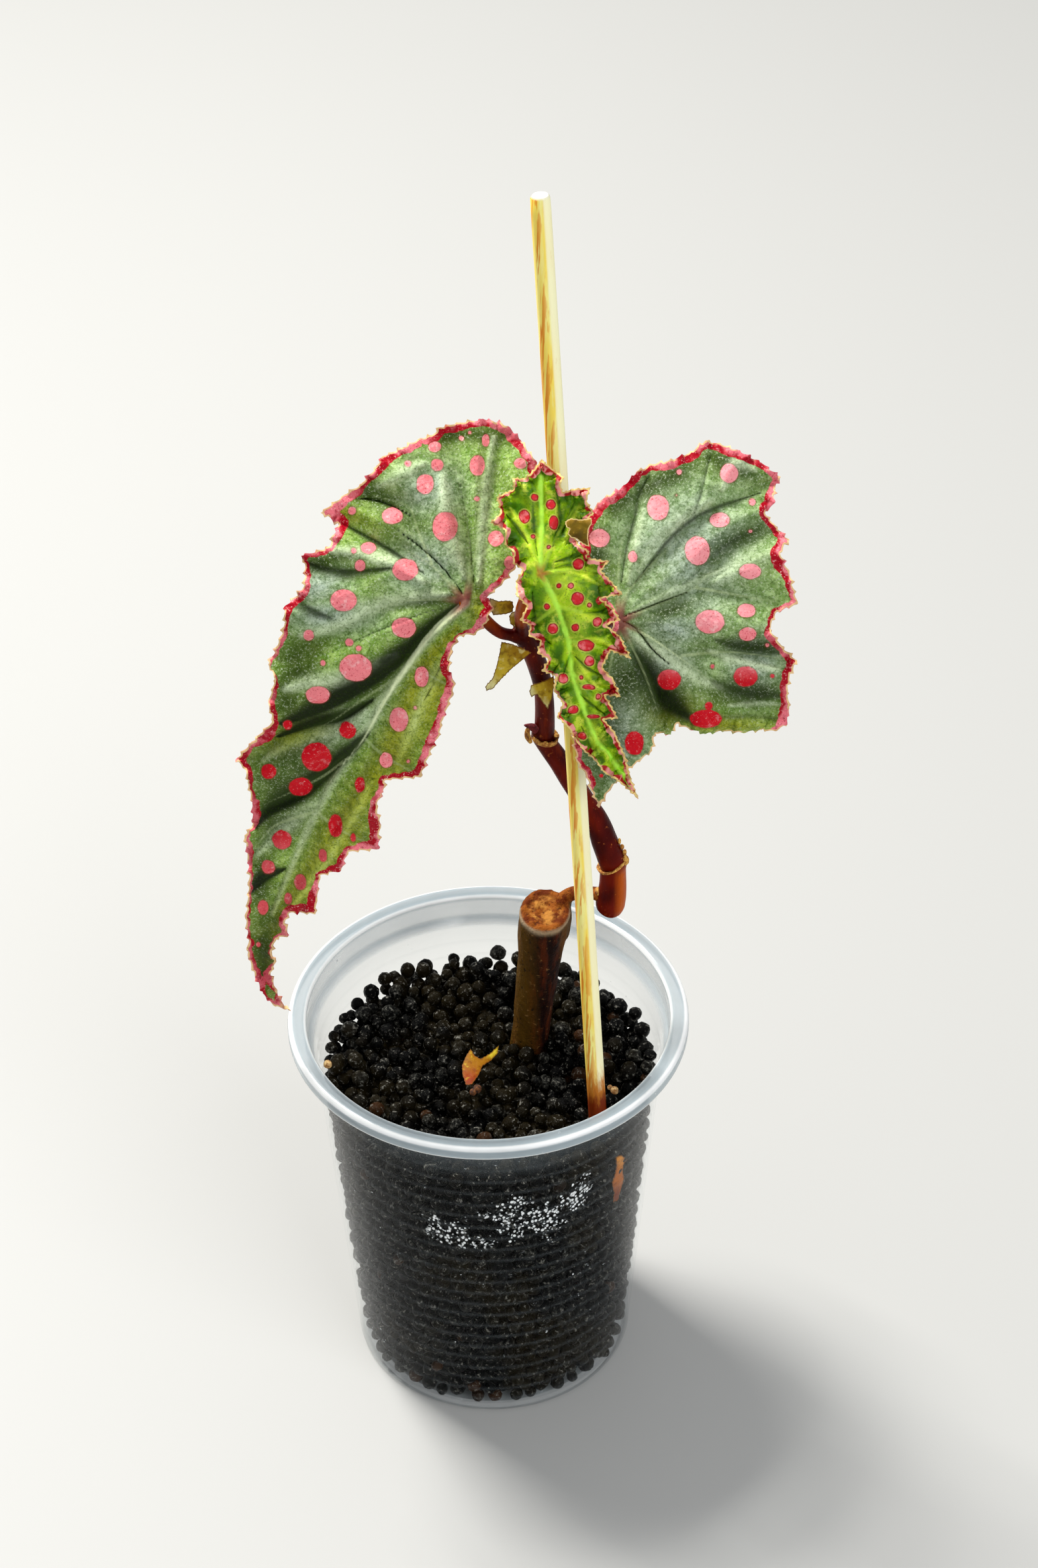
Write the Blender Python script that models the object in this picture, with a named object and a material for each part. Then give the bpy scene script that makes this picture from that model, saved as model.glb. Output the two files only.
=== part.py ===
"""Potted begonia cutting: a clear cup of round soil grains, an old cane, a new shoot, three leaves and a stake.

Metres, +Z up. The origin is the middle of the cup's foot, on the surface that the cup stands on.
"""
import math
import random

import bpy
from mathutils import Vector
from mathutils.geometry import delaunay_2d_cdt

MM = 0.001
CLEARANCE = 0.3 * MM
MERGE_DISTANCE = 1e-7
SMOOTH_ANGLE = math.radians(40)

# Cup
RIM_RADIUS = 36.0 * MM
CUP_HEIGHT = 76.4 * MM
FOOT_RADIUS = 25.4 * MM
BODY_FLARE = 0.0875
BODY_TOP = 70.5 * MM
CUP_WALL = 0.6 * MM
FLOOR_THICK = 0.8 * MM
FOOT_ROUND = 1.2 * MM
FLANGE_INNER = 32.6 * MM
NECK_RISE = 1.5 * MM
LIP_DEPTH = 2.4 * MM
LIP_THICK = 0.7 * MM
LIP_EDGE_ROUND = 0.4 * MM
FLANGE_ROUND = 1.0 * MM
ROUND_STEPS = 48

# Substrate
SOIL_LEVEL = 64.0 * MM
GRAIN_PITCH = 3.8 * MM
GRAIN_JITTER = 0.16
GRAIN_SHOULDER = 0.27
GRAIN_MARGIN = 0.55
GRAIN_TOP = 1.1 * MM
GRAIN_SIDE = 0.75 * MM
GRAIN_GAP = -0.7 * MM
GRAIN_LIFT = 0.3 * MM
SOIL_SIDES = 40
SIDE_ROWS = 14
SIDE_GRAIN_DEPTH = 1.2 * MM
SIDE_GRAIN_JITTER = 0.5 * MM
SOIL_SEED = 11

# Old cane, cut off above the soil
CANE_FOOT = Vector((7.4, 7.2, 64.0)) * MM
CANE_TOP = Vector((10.4, 5.0, 95.8)) * MM
CANE_DEPTH = 24.0 * MM
CANE_FOOT_RADIUS = 3.3 * MM
CANE_TOP_RADIUS = 4.5 * MM
CANE_CUT_TILT = math.radians(16)
CANE_SIDES = 16
# Millimetres along the cane from the soil, and share of the way from the foot's radius to the top's
CANE_STATIONS = [(-2.0, 0.0), (5.0, 0.05), (12.0, 0.2), (19.0, 0.4), (25.0, 0.75), (28.5, 1.0)]
CANE_CUT_SHARE = 0.96
CANE_BRANCH_LINE = [
    ((11.0, 5.0, 90.0), 1.2), ((12.6, 5.0, 94.8), 2.2), ((14.4, 4.9, 97.6), 2.4), ((16.3, 4.7, 98.4), 2.5),
]
BRANCH_SIDES = 12
HOLE_RISE = 6.0 * MM

# New shoot: middle line and radius at each point, from the cane's side to the crown
SHOOT_LINE = [
    ((17.1, 4.6, 98.5), 2.4), ((19.0, 4.3, 98.3), 2.6), ((21.1, 4.0, 98.9), 2.6), ((22.3, 4.0, 101.2), 2.5),
    ((22.4, 4.0, 106.2), 2.3), ((22.4, 4.0, 107.4), 2.7), ((22.0, 4.0, 108.8), 2.5), ((21.0, 4.0, 112.2), 2.4),
    ((19.6, 4.1, 116.6), 2.1), ((16.0, 4.5, 123.8), 1.9), ((13.1, 4.5, 129.7), 1.9), ((10.6, 4.5, 134.4), 1.8),
    ((10.3, 4.5, 136.0), 2.2), ((10.6, 4.5, 137.6), 1.7), ((10.6, 4.0, 144.5), 1.7), ((9.9, 4.0, 149.4), 1.7),
    ((8.7, 3.5, 154.0), 1.8), ((7.2, 3.0, 158.4), 1.8), ((6.8, 2.6, 160.6), 1.1),
]
SHOOT_SIDES = 12

# Stake
STAKE_ENTRY = Vector((19.3, -12.1, 64.0)) * MM
STAKE_TOP = Vector((10.7, 5.0, 242.1)) * MM
STAKE_RADIUS = 1.65 * MM
STAKE_DEPTH = 26.0 * MM
STAKE_SIDES = 12
STAKE_CHAMFER = 0.4 * MM

# Drawing sheet: the blades are drawn as a viewer in front of the pot, looking down, sees them.
# Sheet points are (right, down) in steps, and each step looks SHEET_STEP radians wide.
VIEWPOINT = Vector((6.1, -586.2, 593.6)) * MM
VIEW_DOWN = math.radians(38.43)
VIEW_ROLL = math.radians(0.8)
SHEET_STEP = 1.0 / 6578.0
LOOKING = Vector((0.0, math.cos(VIEW_DOWN), -math.sin(VIEW_DOWN)))
LEVEL = Vector((1.0, 0.0, 0.0))
RISING = LEVEL.cross(LOOKING)
ACROSS = LEVEL * math.cos(VIEW_ROLL) - RISING * math.sin(VIEW_ROLL)
UPWARD = LEVEL * math.sin(VIEW_ROLL) + RISING * math.cos(VIEW_ROLL)

BLADE_THICK = 0.7 * MM
BLADE_PITCH = 2.6 * MM
BLADE_DROOP_POWER = 1.5
# Vein valleys: depth, width and the distance from the seat over which they deepen
LEFT_VALLEYS = (1.8 * MM, 2.6 * MM, 14.0 * MM)
RIGHT_VALLEYS = (1.5 * MM, 2.6 * MM, 14.0 * MM)
YOUNG_VALLEYS = (0.7 * MM, 1.2 * MM, 8.0 * MM)
# Margin waves: height, length and how far they reach inwards
BLADE_RUFFLE = (0.5 * MM, 7.0 * MM, 2.0 * MM)
YOUNG_RUFFLE = (0.8 * MM, 4.4 * MM, 1.8 * MM)

# Left leaf
LEFT_SEAT = Vector((-2.2, -4.0, 170.0)) * MM
LEFT_SHEET = (704, 910)
LEFT_OUTLINE = [
    (809, 695), (787, 665), (767, 643), (741, 634), (729, 632), (692, 638), (662, 645), (652, 657),
    (631, 663), (609, 675), (577, 689), (567, 705), (546, 730), (518, 748), (484, 774), (512, 792),
    (500, 811), (498, 825), (455, 839), (461, 857), (457, 889), (429, 916), (429, 944), (421, 968),
    (405, 1003), (415, 1025), (405, 1061), (411, 1090), (378, 1122), (355, 1147), (370, 1161), (374, 1181),
    (381, 1214), (381, 1246), (369, 1261), (374, 1300), (376, 1339), (370, 1386), (374, 1404), (374, 1443),
    (385, 1475), (397, 1500), (413, 1518), (439, 1526), (424, 1511), (417, 1493), (408, 1470), (417, 1452),
    (410, 1436), (417, 1418), (436, 1412), (430, 1391), (440, 1377), (476, 1380), (479, 1357), (483, 1321),
    (515, 1314), (526, 1286), (572, 1282), (574, 1243), (569, 1214), (579, 1196), (581, 1178), (636, 1173),
    (647, 1143), (663, 1111), (669, 1086), (685, 1046), (686, 1029), (678, 1011), (682, 980), (694, 960),
    (718, 958), (735, 940), (745, 916), (735, 902), (759, 881), (779, 857), (786, 838), (790, 800),
    (800, 760), (812, 725),
]
LEFT_VEINS = [
    [(704, 910), (656, 952), (617, 1003), (580, 1058), (550, 1113), (505, 1172), (478, 1224), (453, 1293),
     (426, 1338), (405, 1396), (396, 1448), (416, 1506)],
    [(704, 910), (677, 904), (606, 907), (568, 923), (527, 948), (471, 970), (425, 985)],
    [(704, 910), (690, 895), (652, 854), (609, 829), (571, 820), (527, 795), (505, 783)],
    [(652, 852), (631, 801), (615, 764), (559, 748)],
    [(704, 910), (709, 839), (699, 745), (684, 660)],
    [(704, 910), (727, 795), (743, 723), (755, 660)],
    [(606, 1020), (546, 1056), (488, 1096), (416, 1125), (375, 1145)],
    [(532, 1140), (490, 1170), (440, 1195), (398, 1215), (382, 1240)],
    [(478, 1224), (440, 1236), (410, 1250), (376, 1290)],
    [(617, 1003), (650, 1020), (680, 1035)],
    [(550, 1113), (580, 1140), (630, 1168)],
    [(478, 1224), (510, 1250), (565, 1276)],
]
LEFT_REACH = 67.3 * MM
LEFT_SAG = 44.0 * MM
LEFT_LEAN_BACK = 6.0
LEFT_SIDE_DROOP = 3.5

# Right leaf
RIGHT_SEAT = Vector((23.1, -3.0, 165.1)) * MM
RIGHT_SHEET = (935, 938)
RIGHT_OUTLINE = [
    (880, 800), (888, 780), (900, 764), (907, 756), (944, 732), (962, 712), (985, 701), (1007, 697),
    (1040, 685), (1066, 665), (1090, 672), (1115, 680), (1150, 699), (1179, 720), (1170, 740), (1170, 760),
    (1155, 775), (1172, 795), (1192, 815), (1178, 835), (1192, 865), (1205, 912), (1172, 925), (1163, 950),
    (1180, 975), (1204, 998), (1192, 1025), (1190, 1045), (1192, 1070), (1189, 1094), (1170, 1104),
    (1150, 1102), (1120, 1106), (1094, 1104), (1065, 1108), (1040, 1100), (1022, 1093), (1013, 1109),
    (990, 1108), (985, 1134), (959, 1154), (932, 1180), (920, 1195), (905, 1220), (892, 1193), (885, 1171),
    (870, 1149), (867, 1120), (859, 1093), (853, 1078), (866, 1045), (886, 1005), (905, 970), (926, 946),
    (925, 930), (905, 915), (890, 885), (878, 840),
]
RIGHT_VEINS = [
    [(935, 938), (980, 962), (1035, 1000), (1100, 1045), (1175, 1088)],
    [(935, 938), (971, 1012), (993, 1075)],
    [(935, 938), (970, 923), (1048, 887), (1110, 825), (1167, 798)],
    [(1048, 887), (1120, 900), (1171, 909)],
    [(935, 938), (950, 892), (1015, 824), (1090, 765), (1152, 735)],
    [(935, 938), (936, 835), (960, 770), (972, 724)],
    [(1030, 990), (1090, 985), (1150, 990), (1180, 996)],
    [(935, 938), (915, 1040), (905, 1120), (905, 1190)],
]
RIGHT_REACH = 31.0 * MM
RIGHT_SAG = 8.5 * MM
RIGHT_LEAN_BACK = 6.0
RIGHT_SIDE_DROOP = 3.0
RIGHT_ROLL_LINE = -17.0 * MM
RIGHT_ROLL_START = 9.0 * MM
RIGHT_ROLL_DEPTH = 1.2

# Young leaf
YOUNG_SEAT = Vector((9.9, -16.0, 184.2)) * MM
YOUNG_SHEET = (815, 867)
YOUNG_OUTLINE = [
    (818, 693), (830, 704), (852, 721), (846, 731), (850, 743), (864, 738), (892, 736), (886, 756),
    (897, 775), (882, 790), (888, 802), (866, 806), (874, 822), (890, 832), (886, 842), (920, 847),
    (908, 862), (924, 878), (940, 897), (907, 904), (926, 918), (937, 936), (916, 944), (938, 962),
    (953, 995), (922, 982), (910, 1008), (926, 1024), (937, 1052), (914, 1050), (924, 1066), (933, 1085),
    (912, 1086), (928, 1104), (944, 1140), (952, 1172), (964, 1206), (937, 1182), (912, 1166), (896, 1145),
    (882, 1134), (870, 1119), (858, 1098), (841, 1082), (850, 1062), (836, 1042), (838, 1020), (818, 1013),
    (828, 995), (811, 986), (816, 968), (798, 960), (800, 944), (785, 936), (796, 915), (780, 900),
    (779, 878), (789, 860), (774, 850), (776, 834), (762, 822), (763, 801), (741, 789), (756, 774),
    (750, 751), (762, 744), (776, 738), (774, 722), (792, 722), (807, 708),
]
YOUNG_VEINS = [
    [(815, 867), (826, 882), (841, 915), (859, 967), (863, 1015), (878, 1060), (900, 1115), (929, 1152),
     (955, 1190)],
    [(815, 867), (800, 815), (775, 770)],
    [(815, 867), (818, 790), (816, 720)],
    [(815, 867), (840, 810), (870, 765)],
    [(815, 867), (860, 860), (905, 862)],
    [(841, 915), (880, 925), (915, 930)],
    [(859, 967), (895, 975), (930, 985)],
    [(841, 915), (815, 935), (800, 948)],
    [(863, 1015), (845, 1035), (838, 1050)],
    [(863, 1015), (890, 1035), (920, 1045)],
]
YOUNG_REACH = 39.0 * MM
YOUNG_SAG = 14.5 * MM
YOUNG_DROOP_POWER = 1.3
YOUNG_LEAN_BACK = 3.0
YOUNG_SIDE_DROOP = 12.0
YOUNG_PITCH = 1.9 * MM

# Papery scales round the crown, each drawn on the sheet from its own seat.
# Tilt is the rise towards the viewer for each length upward, curl how the sides bend away.
SCALE_THICK = 0.6 * MM
SCALE_PITCH = 1.6 * MM
SCALE_CURL = 60.0
UPPER_SCALE_TILT = -0.4
MIDDLE_SCALE_TILT = 0.35
LOWER_SCALE_TILT = 0.3
UPPER_SCALE_SEAT = Vector((4.1, -2.6, 168.1)) * MM
UPPER_SCALE_SHEET = (765, 911)
UPPER_SCALE_OUTLINE = [
    (743, 898), (756, 903), (768, 902), (777, 903), (779, 911), (777, 919), (768, 922), (758, 923),
    (748, 924), (741, 911),
]
MIDDLE_SCALE_SEAT = Vector((4.9, -1.0, 156.6)) * MM
MIDDLE_SCALE_SHEET = (770, 985)
MIDDLE_SCALE_OUTLINE = [
    (757, 963), (772, 966), (788, 972), (802, 979), (790, 989), (772, 1004), (756, 1020), (744, 1034),
    (734, 1037), (733, 1030), (744, 1017), (750, 998), (754, 980),
]
LOWER_SCALE_SEAT = Vector((10.3, 0.8, 148.0)) * MM
LOWER_SCALE_SHEET = (820, 1038)
LOWER_SCALE_OUTLINE = [
    (803, 1030), (814, 1027), (826, 1022), (837, 1016), (838, 1030), (834, 1050), (828, 1066), (820, 1056),
    (812, 1044), (803, 1048), (800, 1040),
]

# Dry scale lying on the soil
BRACT_SEAT = Vector((-3.2, -3.4, 66.6)) * MM
BRACT_SHEET = (712, 1612)
BRACT_OUTLINE = [
    (711, 1587), (717, 1597), (726, 1602), (740, 1594), (753, 1582), (752, 1593), (742, 1604), (729, 1612),
    (723, 1626), (713, 1640), (704, 1641), (699, 1626), (698, 1612), (704, 1598),
]
BRACT_TILT = -1.02
BRACT_CURL = 35.0

# Leaf stalks, from the crown to just behind each blade's seat
STALK_RADIUS = 1.1 * MM
STALK_SIDES = 10
STALK_TURN = 3.2 * MM
STALK_GAP = 0.65 * MM + CLEARANCE
LEFT_STALK_LINE = [(7.4, 3.2, 157.2), (5.4, 1.8, 158.8), (2.8, 0.4, 161.0), (0.2, -0.2, 164.4)]
RIGHT_STALK_LINE = [(7.6, 3.4, 156.4), (11.6, 5.2, 155.9), (17.2, 4.8, 156.9), (21.4, 2.6, 160.4)]
YOUNG_STALK_LINE = [(7.2, 3.0, 158.0), (6.8, 0.4, 162.6), (6.9, -3.4, 167.8), (8.0, -8.2, 175.0)]


def clear_scene():
    for old in list(bpy.data.objects):
        bpy.data.objects.remove(old, do_unlink=True)


def paint(name, colour, roughness, metallic=0.0, alpha=1.0):
    material = bpy.data.materials.new(name)
    material.use_nodes = True
    shader = material.node_tree.nodes["Principled BSDF"]
    shader.inputs["Base Color"].default_value = (*colour, 1.0)
    shader.inputs["Roughness"].default_value = roughness
    shader.inputs["Metallic"].default_value = metallic
    shader.inputs["Alpha"].default_value = alpha
    return material


def add_object(name, corners, faces, material):
    mesh = bpy.data.meshes.new(name)
    mesh.from_pydata([tuple(corner) for corner in corners], [], faces)
    mesh.validate()
    mesh.materials.append(material)
    body = bpy.data.objects.new(name, mesh)
    bpy.context.collection.objects.link(body)
    return body


def smooth(body):
    body.data.shade_smooth()
    body.data.set_sharp_from_angle(angle=SMOOTH_ANGLE)


def as_cutter(body):
    body.hide_render = True
    body.display_type = "WIRE"
    return body


def add_boolean(body, other, operation, solver="EXACT"):
    modifier = body.modifiers.new(other.name, "BOOLEAN")
    modifier.operation = operation
    modifier.solver = solver
    modifier.object = other


def turned(name, profile, material):
    """Turn a profile of (radius, height) about Z; its first and last points lie on the axis."""
    corners = [Vector((0.0, 0.0, profile[0][1]))]
    for radius, height in profile[1:-1]:
        for step in range(ROUND_STEPS):
            angle = 2 * math.pi * step / ROUND_STEPS
            corners.append(Vector((radius * math.cos(angle), radius * math.sin(angle), height)))
    corners.append(Vector((0.0, 0.0, profile[-1][1])))
    last = len(corners) - 1
    rings = len(profile) - 2
    faces = []
    for step in range(ROUND_STEPS):
        after = (step + 1) % ROUND_STEPS
        faces.append((0, 1 + after, 1 + step))
        for ring in range(rings - 1):
            low = 1 + ring * ROUND_STEPS
            high = low + ROUND_STEPS
            faces.append((low + step, low + after, high + after, high + step))
        top = 1 + (rings - 1) * ROUND_STEPS
        faces.append((last, top + step, top + after))
    return add_object(name, corners, faces, material)


def body_radius(height):
    return FOOT_RADIUS + BODY_FLARE * height


def make_cup():
    """Thin tapered wall, a stepped neck and a flange whose edge turns down."""
    top = CUP_HEIGHT
    neck = FLANGE_INNER + CUP_WALL
    lip_foot = top - LIP_DEPTH
    profile = [
        (0.0, 0.0), (FOOT_RADIUS - FOOT_ROUND, 0.0),
        (body_radius(FOOT_ROUND) - FOOT_ROUND / 6, FOOT_ROUND / 2), (body_radius(FOOT_ROUND), FOOT_ROUND),
        (body_radius(BODY_TOP), BODY_TOP), (neck, BODY_TOP + NECK_RISE), (neck, top - LIP_THICK),
        (RIM_RADIUS - LIP_THICK, top - LIP_THICK), (RIM_RADIUS - LIP_THICK, lip_foot),
        (RIM_RADIUS - LIP_EDGE_ROUND / 2, lip_foot), (RIM_RADIUS, lip_foot + LIP_EDGE_ROUND),
        (RIM_RADIUS, top - 0.8 * FLANGE_ROUND), (RIM_RADIUS - 0.35 * FLANGE_ROUND, top - 0.2 * FLANGE_ROUND),
        (RIM_RADIUS - FLANGE_ROUND, top), (FLANGE_INNER + LIP_EDGE_ROUND, top),
        (FLANGE_INNER, top - LIP_EDGE_ROUND), (FLANGE_INNER, BODY_TOP + NECK_RISE),
        (body_radius(BODY_TOP) - CUP_WALL, BODY_TOP), (body_radius(FLOOR_THICK) - CUP_WALL, FLOOR_THICK),
        (0.0, FLOOR_THICK),
    ]
    cup = turned("cup", profile, paint("clear plastic", (0.75, 0.78, 0.78), 0.15, alpha=0.35))
    smooth(cup)


def grain_points(radius):
    """Grain middles on a jittered triangle grid inside the soil's edge."""
    draw = random.Random(SOIL_SEED)
    row_pitch = GRAIN_PITCH * math.sqrt(3) / 2
    rows = int(radius / row_pitch) + 1
    points = []
    for row in range(-rows, rows + 1):
        for column in range(-rows, rows + 1):
            x = (column + 0.5 * (row % 2)) * GRAIN_PITCH + draw.uniform(-1, 1) * GRAIN_JITTER * GRAIN_PITCH
            y = row * row_pitch + draw.uniform(-1, 1) * GRAIN_JITTER * GRAIN_PITCH
            if math.hypot(x, y) < radius - GRAIN_MARGIN * GRAIN_PITCH:
                points.append((x, y, draw.uniform(-1, 1) * GRAIN_LIFT))
    return points


def soil_relief(radius):
    """Plan points of the soil's top, each with its height over the soil level."""
    grains = grain_points(radius)
    relief = {}
    for x, y, lift in grains:
        relief[(x, y)] = GRAIN_TOP + lift
        for step in range(6):
            angle = math.pi * step / 3
            shoulder = (x + GRAIN_SHOULDER * GRAIN_PITCH * math.cos(angle),
                        y + GRAIN_SHOULDER * GRAIN_PITCH * math.sin(angle))
            relief[shoulder] = GRAIN_SIDE + lift
    middles = [Vector((x, y)) for x, y, lift in grains]
    corners, edges, faces = delaunay_2d_cdt(middles, [], [], 0, MERGE_DISTANCE)[:3]
    for face in faces:
        middle = sum((corners[index] for index in face), Vector((0.0, 0.0))) / len(face)
        widest = max((corners[index] - middle).length for index in face)
        if widest < GRAIN_PITCH:
            relief[(middle.x, middle.y)] = GRAIN_GAP
    return relief


def soil_radius(height):
    return body_radius(height) - CUP_WALL - CLEARANCE


def soil_top():
    """Corners of the soil's top with its grains, its faces, and its rim's corners in order of angle."""
    edge = soil_radius(SOIL_LEVEL)
    rim = [(edge * math.cos(2 * math.pi * step / SOIL_SIDES), edge * math.sin(2 * math.pi * step / SOIL_SIDES))
           for step in range(SOIL_SIDES)]
    relief = soil_relief(edge)
    plan = [Vector(point) for point in rim + list(relief)]
    heights = {(round(x, 7), round(y, 7)): height for (x, y), height in relief.items()}
    boundary = list(range(SOIL_SIDES))
    flat, edges, faces = delaunay_2d_cdt(plan, [], [boundary], 1, MERGE_DISTANCE)[:3]
    corners = []
    ring = []
    for index, corner in enumerate(flat):
        height = heights.get((round(corner.x, 7), round(corner.y, 7)), 0.0)
        corners.append(Vector((corner.x, corner.y, SOIL_LEVEL + height)))
        if corner.length > edge - CLEARANCE:
            ring.append(index)
    ring.sort(key=lambda index: math.atan2(flat[index].y, flat[index].x))
    return corners, [tuple(face) for face in faces], ring


def side_corner(draw, row, angle, hollow):
    """Corner of the soil's side: on the cup's wall at a grain, further in at a hollow between grains."""
    bottom = FLOOR_THICK + CLEARANCE
    height = SOIL_LEVEL + (bottom - SOIL_LEVEL) * row / SIDE_ROWS
    if row == SIDE_ROWS:
        radius = soil_radius(height)
    else:
        height += draw.uniform(-1, 1) * SIDE_GRAIN_JITTER
        angle += draw.uniform(-1, 1) * SIDE_GRAIN_JITTER / FOOT_RADIUS
        radius = soil_radius(height) - (SIDE_GRAIN_DEPTH if hollow else 0.0)
    return Vector((radius * math.cos(angle), radius * math.sin(angle), height))


def make_substrate():
    """Round grains as relief on a plug that fills the cup, with a plain hole for each stem."""
    draw = random.Random(SOIL_SEED)
    corners, faces, upper = soil_top()
    angles = [math.atan2(corners[index].y, corners[index].x) for index in upper]
    for row in range(1, SIDE_ROWS + 1):
        lower = [len(corners) + step for step in range(SOIL_SIDES)]
        corners += [side_corner(draw, row, angle, (row + step) % 2) for step, angle in enumerate(angles)]
        for step in range(SOIL_SIDES):
            after = (step + 1) % SOIL_SIDES
            quad = (upper[step], lower[step], lower[after], upper[after])
            if (row + step) % 2:
                quad = quad[1:] + quad[:1]
            faces += [(quad[0], quad[1], quad[2]), (quad[0], quad[2], quad[3])]
        upper = lower
    faces.append(tuple(reversed(upper)))
    substrate = add_object("substrate", corners, faces, paint("dark soil grains", (0.03, 0.028, 0.025), 0.7))
    hollow = paint("hole", (0.02, 0.02, 0.02), 0.9)
    for cutter in (cane_hole(hollow), stake_hole(hollow)):
        add_boolean(substrate, as_cutter(cutter), "DIFFERENCE")


def smooth_path(points, radii, between=3):
    """Catmull-Rom curve through the points, with the radius carried along."""
    path = []
    for index in range(len(points) - 1):
        before = points[max(index - 1, 0)]
        start = points[index]
        end = points[index + 1]
        beyond = points[min(index + 2, len(points) - 1)]
        for step in range(between):
            t = step / between
            point = 0.5 * (2 * start + (end - before) * t + (2 * before - 5 * start + 4 * end - beyond) * t ** 2
                           + (3 * start - before - 3 * end + beyond) * t ** 3)
            path.append((point, radii[index] + (radii[index + 1] - radii[index]) * t))
    path.append((points[-1], radii[-1]))
    return path


def tube(name, path, sides, material, end_normal=None):
    """Closed round rod along a path of (point, radius); its last ring may be cut square to end_normal."""
    corners = []
    side = None
    for index, (point, radius) in enumerate(path):
        ahead = path[min(index + 1, len(path) - 1)][0]
        behind = path[max(index - 1, 0)][0]
        direction = (ahead - behind).normalized()
        if side is None:
            side = direction.orthogonal().normalized()
        side = (side - direction * side.dot(direction)).normalized()
        other = direction.cross(side)
        for step in range(sides):
            angle = 2 * math.pi * step / sides
            corner = point + (side * math.cos(angle) + other * math.sin(angle)) * radius
            if end_normal is not None and index == len(path) - 1:
                corner -= direction * (corner - point).dot(end_normal) / direction.dot(end_normal)
            corners.append(corner)
    faces = [tuple(reversed(range(sides)))]
    for ring in range(len(path) - 1):
        low = ring * sides
        high = low + sides
        for step in range(sides):
            after = (step + 1) % sides
            faces.append((low + step, low + after, high + after, high + step))
    top = (len(path) - 1) * sides
    faces.append(tuple(range(top, top + sides)))
    return add_object(name, corners, faces, material)


def cane_path():
    """Middle line of the cane from its buried end to the cut."""
    direction = (CANE_TOP - CANE_FOOT).normalized()
    stations = [(-CANE_DEPTH, 0.0)]
    stations += [(distance * MM, share) for distance, share in CANE_STATIONS]
    stations.append(((CANE_TOP - CANE_FOOT).length, CANE_CUT_SHARE))
    return [(CANE_FOOT + direction * distance,
             CANE_FOOT_RADIUS + (CANE_TOP_RADIUS - CANE_FOOT_RADIUS) * share)
            for distance, share in stations]


def cane_hole(material):
    """Plain hole for the cane, a little deeper than its buried end."""
    direction = (CANE_TOP - CANE_FOOT).normalized()
    radius = CANE_FOOT_RADIUS + CLEARANCE
    path = [(CANE_FOOT - direction * (CANE_DEPTH + CLEARANCE), radius),
            (CANE_FOOT + direction * HOLE_RISE, radius)]
    return tube("cane hole", path, CANE_SIDES, material)


def make_cane():
    """Old woody stem, wider at its slanted cut, with the short side branch that carries the new shoot."""
    cut = Vector((0.0, -math.sin(CANE_CUT_TILT), math.cos(CANE_CUT_TILT)))
    brown = paint("brown cane", (0.14, 0.07, 0.03), 0.6)
    cane = tube("old_cane", cane_path(), CANE_SIDES, brown, cut)
    smooth(cane)
    points = [Vector(point) * MM for point, radius in CANE_BRANCH_LINE]
    radii = [radius * MM for point, radius in CANE_BRANCH_LINE]
    branch = tube("cane branch", smooth_path(points, radii), BRANCH_SIDES, brown, LEVEL)
    add_boolean(cane, as_cutter(branch), "UNION", "MANIFOLD")


def stalk_path(line, seat):
    """Leaf stalk that meets its blade square, a small gap behind the seat."""
    points = [Vector(point) * MM for point in line]
    points += [seat + LOOKING * STALK_TURN, seat + LOOKING * STALK_GAP]
    radii = [STALK_RADIUS] * len(points)
    return smooth_path(points, radii)


def make_shoot():
    """New red shoot with two ringed nodes, and the three leaf stalks grown from its crown."""
    red = paint("red stem", (0.18, 0.03, 0.015), 0.45)
    points = [Vector(point) * MM for point, radius in SHOOT_LINE]
    radii = [radius * MM for point, radius in SHOOT_LINE]
    shoot = tube("new_shoot", smooth_path(points, radii, 2), SHOOT_SIDES, red)
    smooth(shoot)
    stalks = (("left stalk", LEFT_STALK_LINE, LEFT_SEAT), ("right stalk", RIGHT_STALK_LINE, RIGHT_SEAT),
              ("young stalk", YOUNG_STALK_LINE, YOUNG_SEAT))
    for name, line, seat in stalks:
        stalk = tube(name, stalk_path(line, seat), STALK_SIDES, red)
        add_boolean(shoot, as_cutter(stalk), "UNION")


def stake_foot(direction, extra):
    return STAKE_ENTRY - direction * (STAKE_DEPTH + extra)


def stake_hole(material):
    direction = (STAKE_TOP - STAKE_ENTRY).normalized()
    radius = STAKE_RADIUS + CLEARANCE
    path = [(stake_foot(direction, CLEARANCE), radius), (STAKE_ENTRY + direction * HOLE_RISE, radius)]
    return tube("stake hole", path, STAKE_SIDES, material)


def make_stake():
    """Split bamboo stake with a blunt top."""
    direction = (STAKE_TOP - STAKE_ENTRY).normalized()
    path = [(stake_foot(direction, 0.0), STAKE_RADIUS), (STAKE_ENTRY, STAKE_RADIUS),
            ((STAKE_ENTRY + STAKE_TOP) / 2, STAKE_RADIUS),
            (STAKE_TOP - direction * STAKE_CHAMFER, STAKE_RADIUS), (STAKE_TOP, STAKE_RADIUS - STAKE_CHAMFER)]
    smooth(tube("stake", path, STAKE_SIDES, paint("bamboo", (0.75, 0.58, 0.28), 0.55)))


def blade_unit(seat):
    """Length of one sheet step at the seat's distance from the viewpoint."""
    return (seat - VIEWPOINT).dot(LOOKING) * SHEET_STEP


def to_blade(points, sheet_seat, unit):
    """Sheet points as (across, upward) lengths from the seat."""
    return [Vector(((x - sheet_seat[0]) * unit, (sheet_seat[1] - y) * unit)) for x, y in points]


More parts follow.
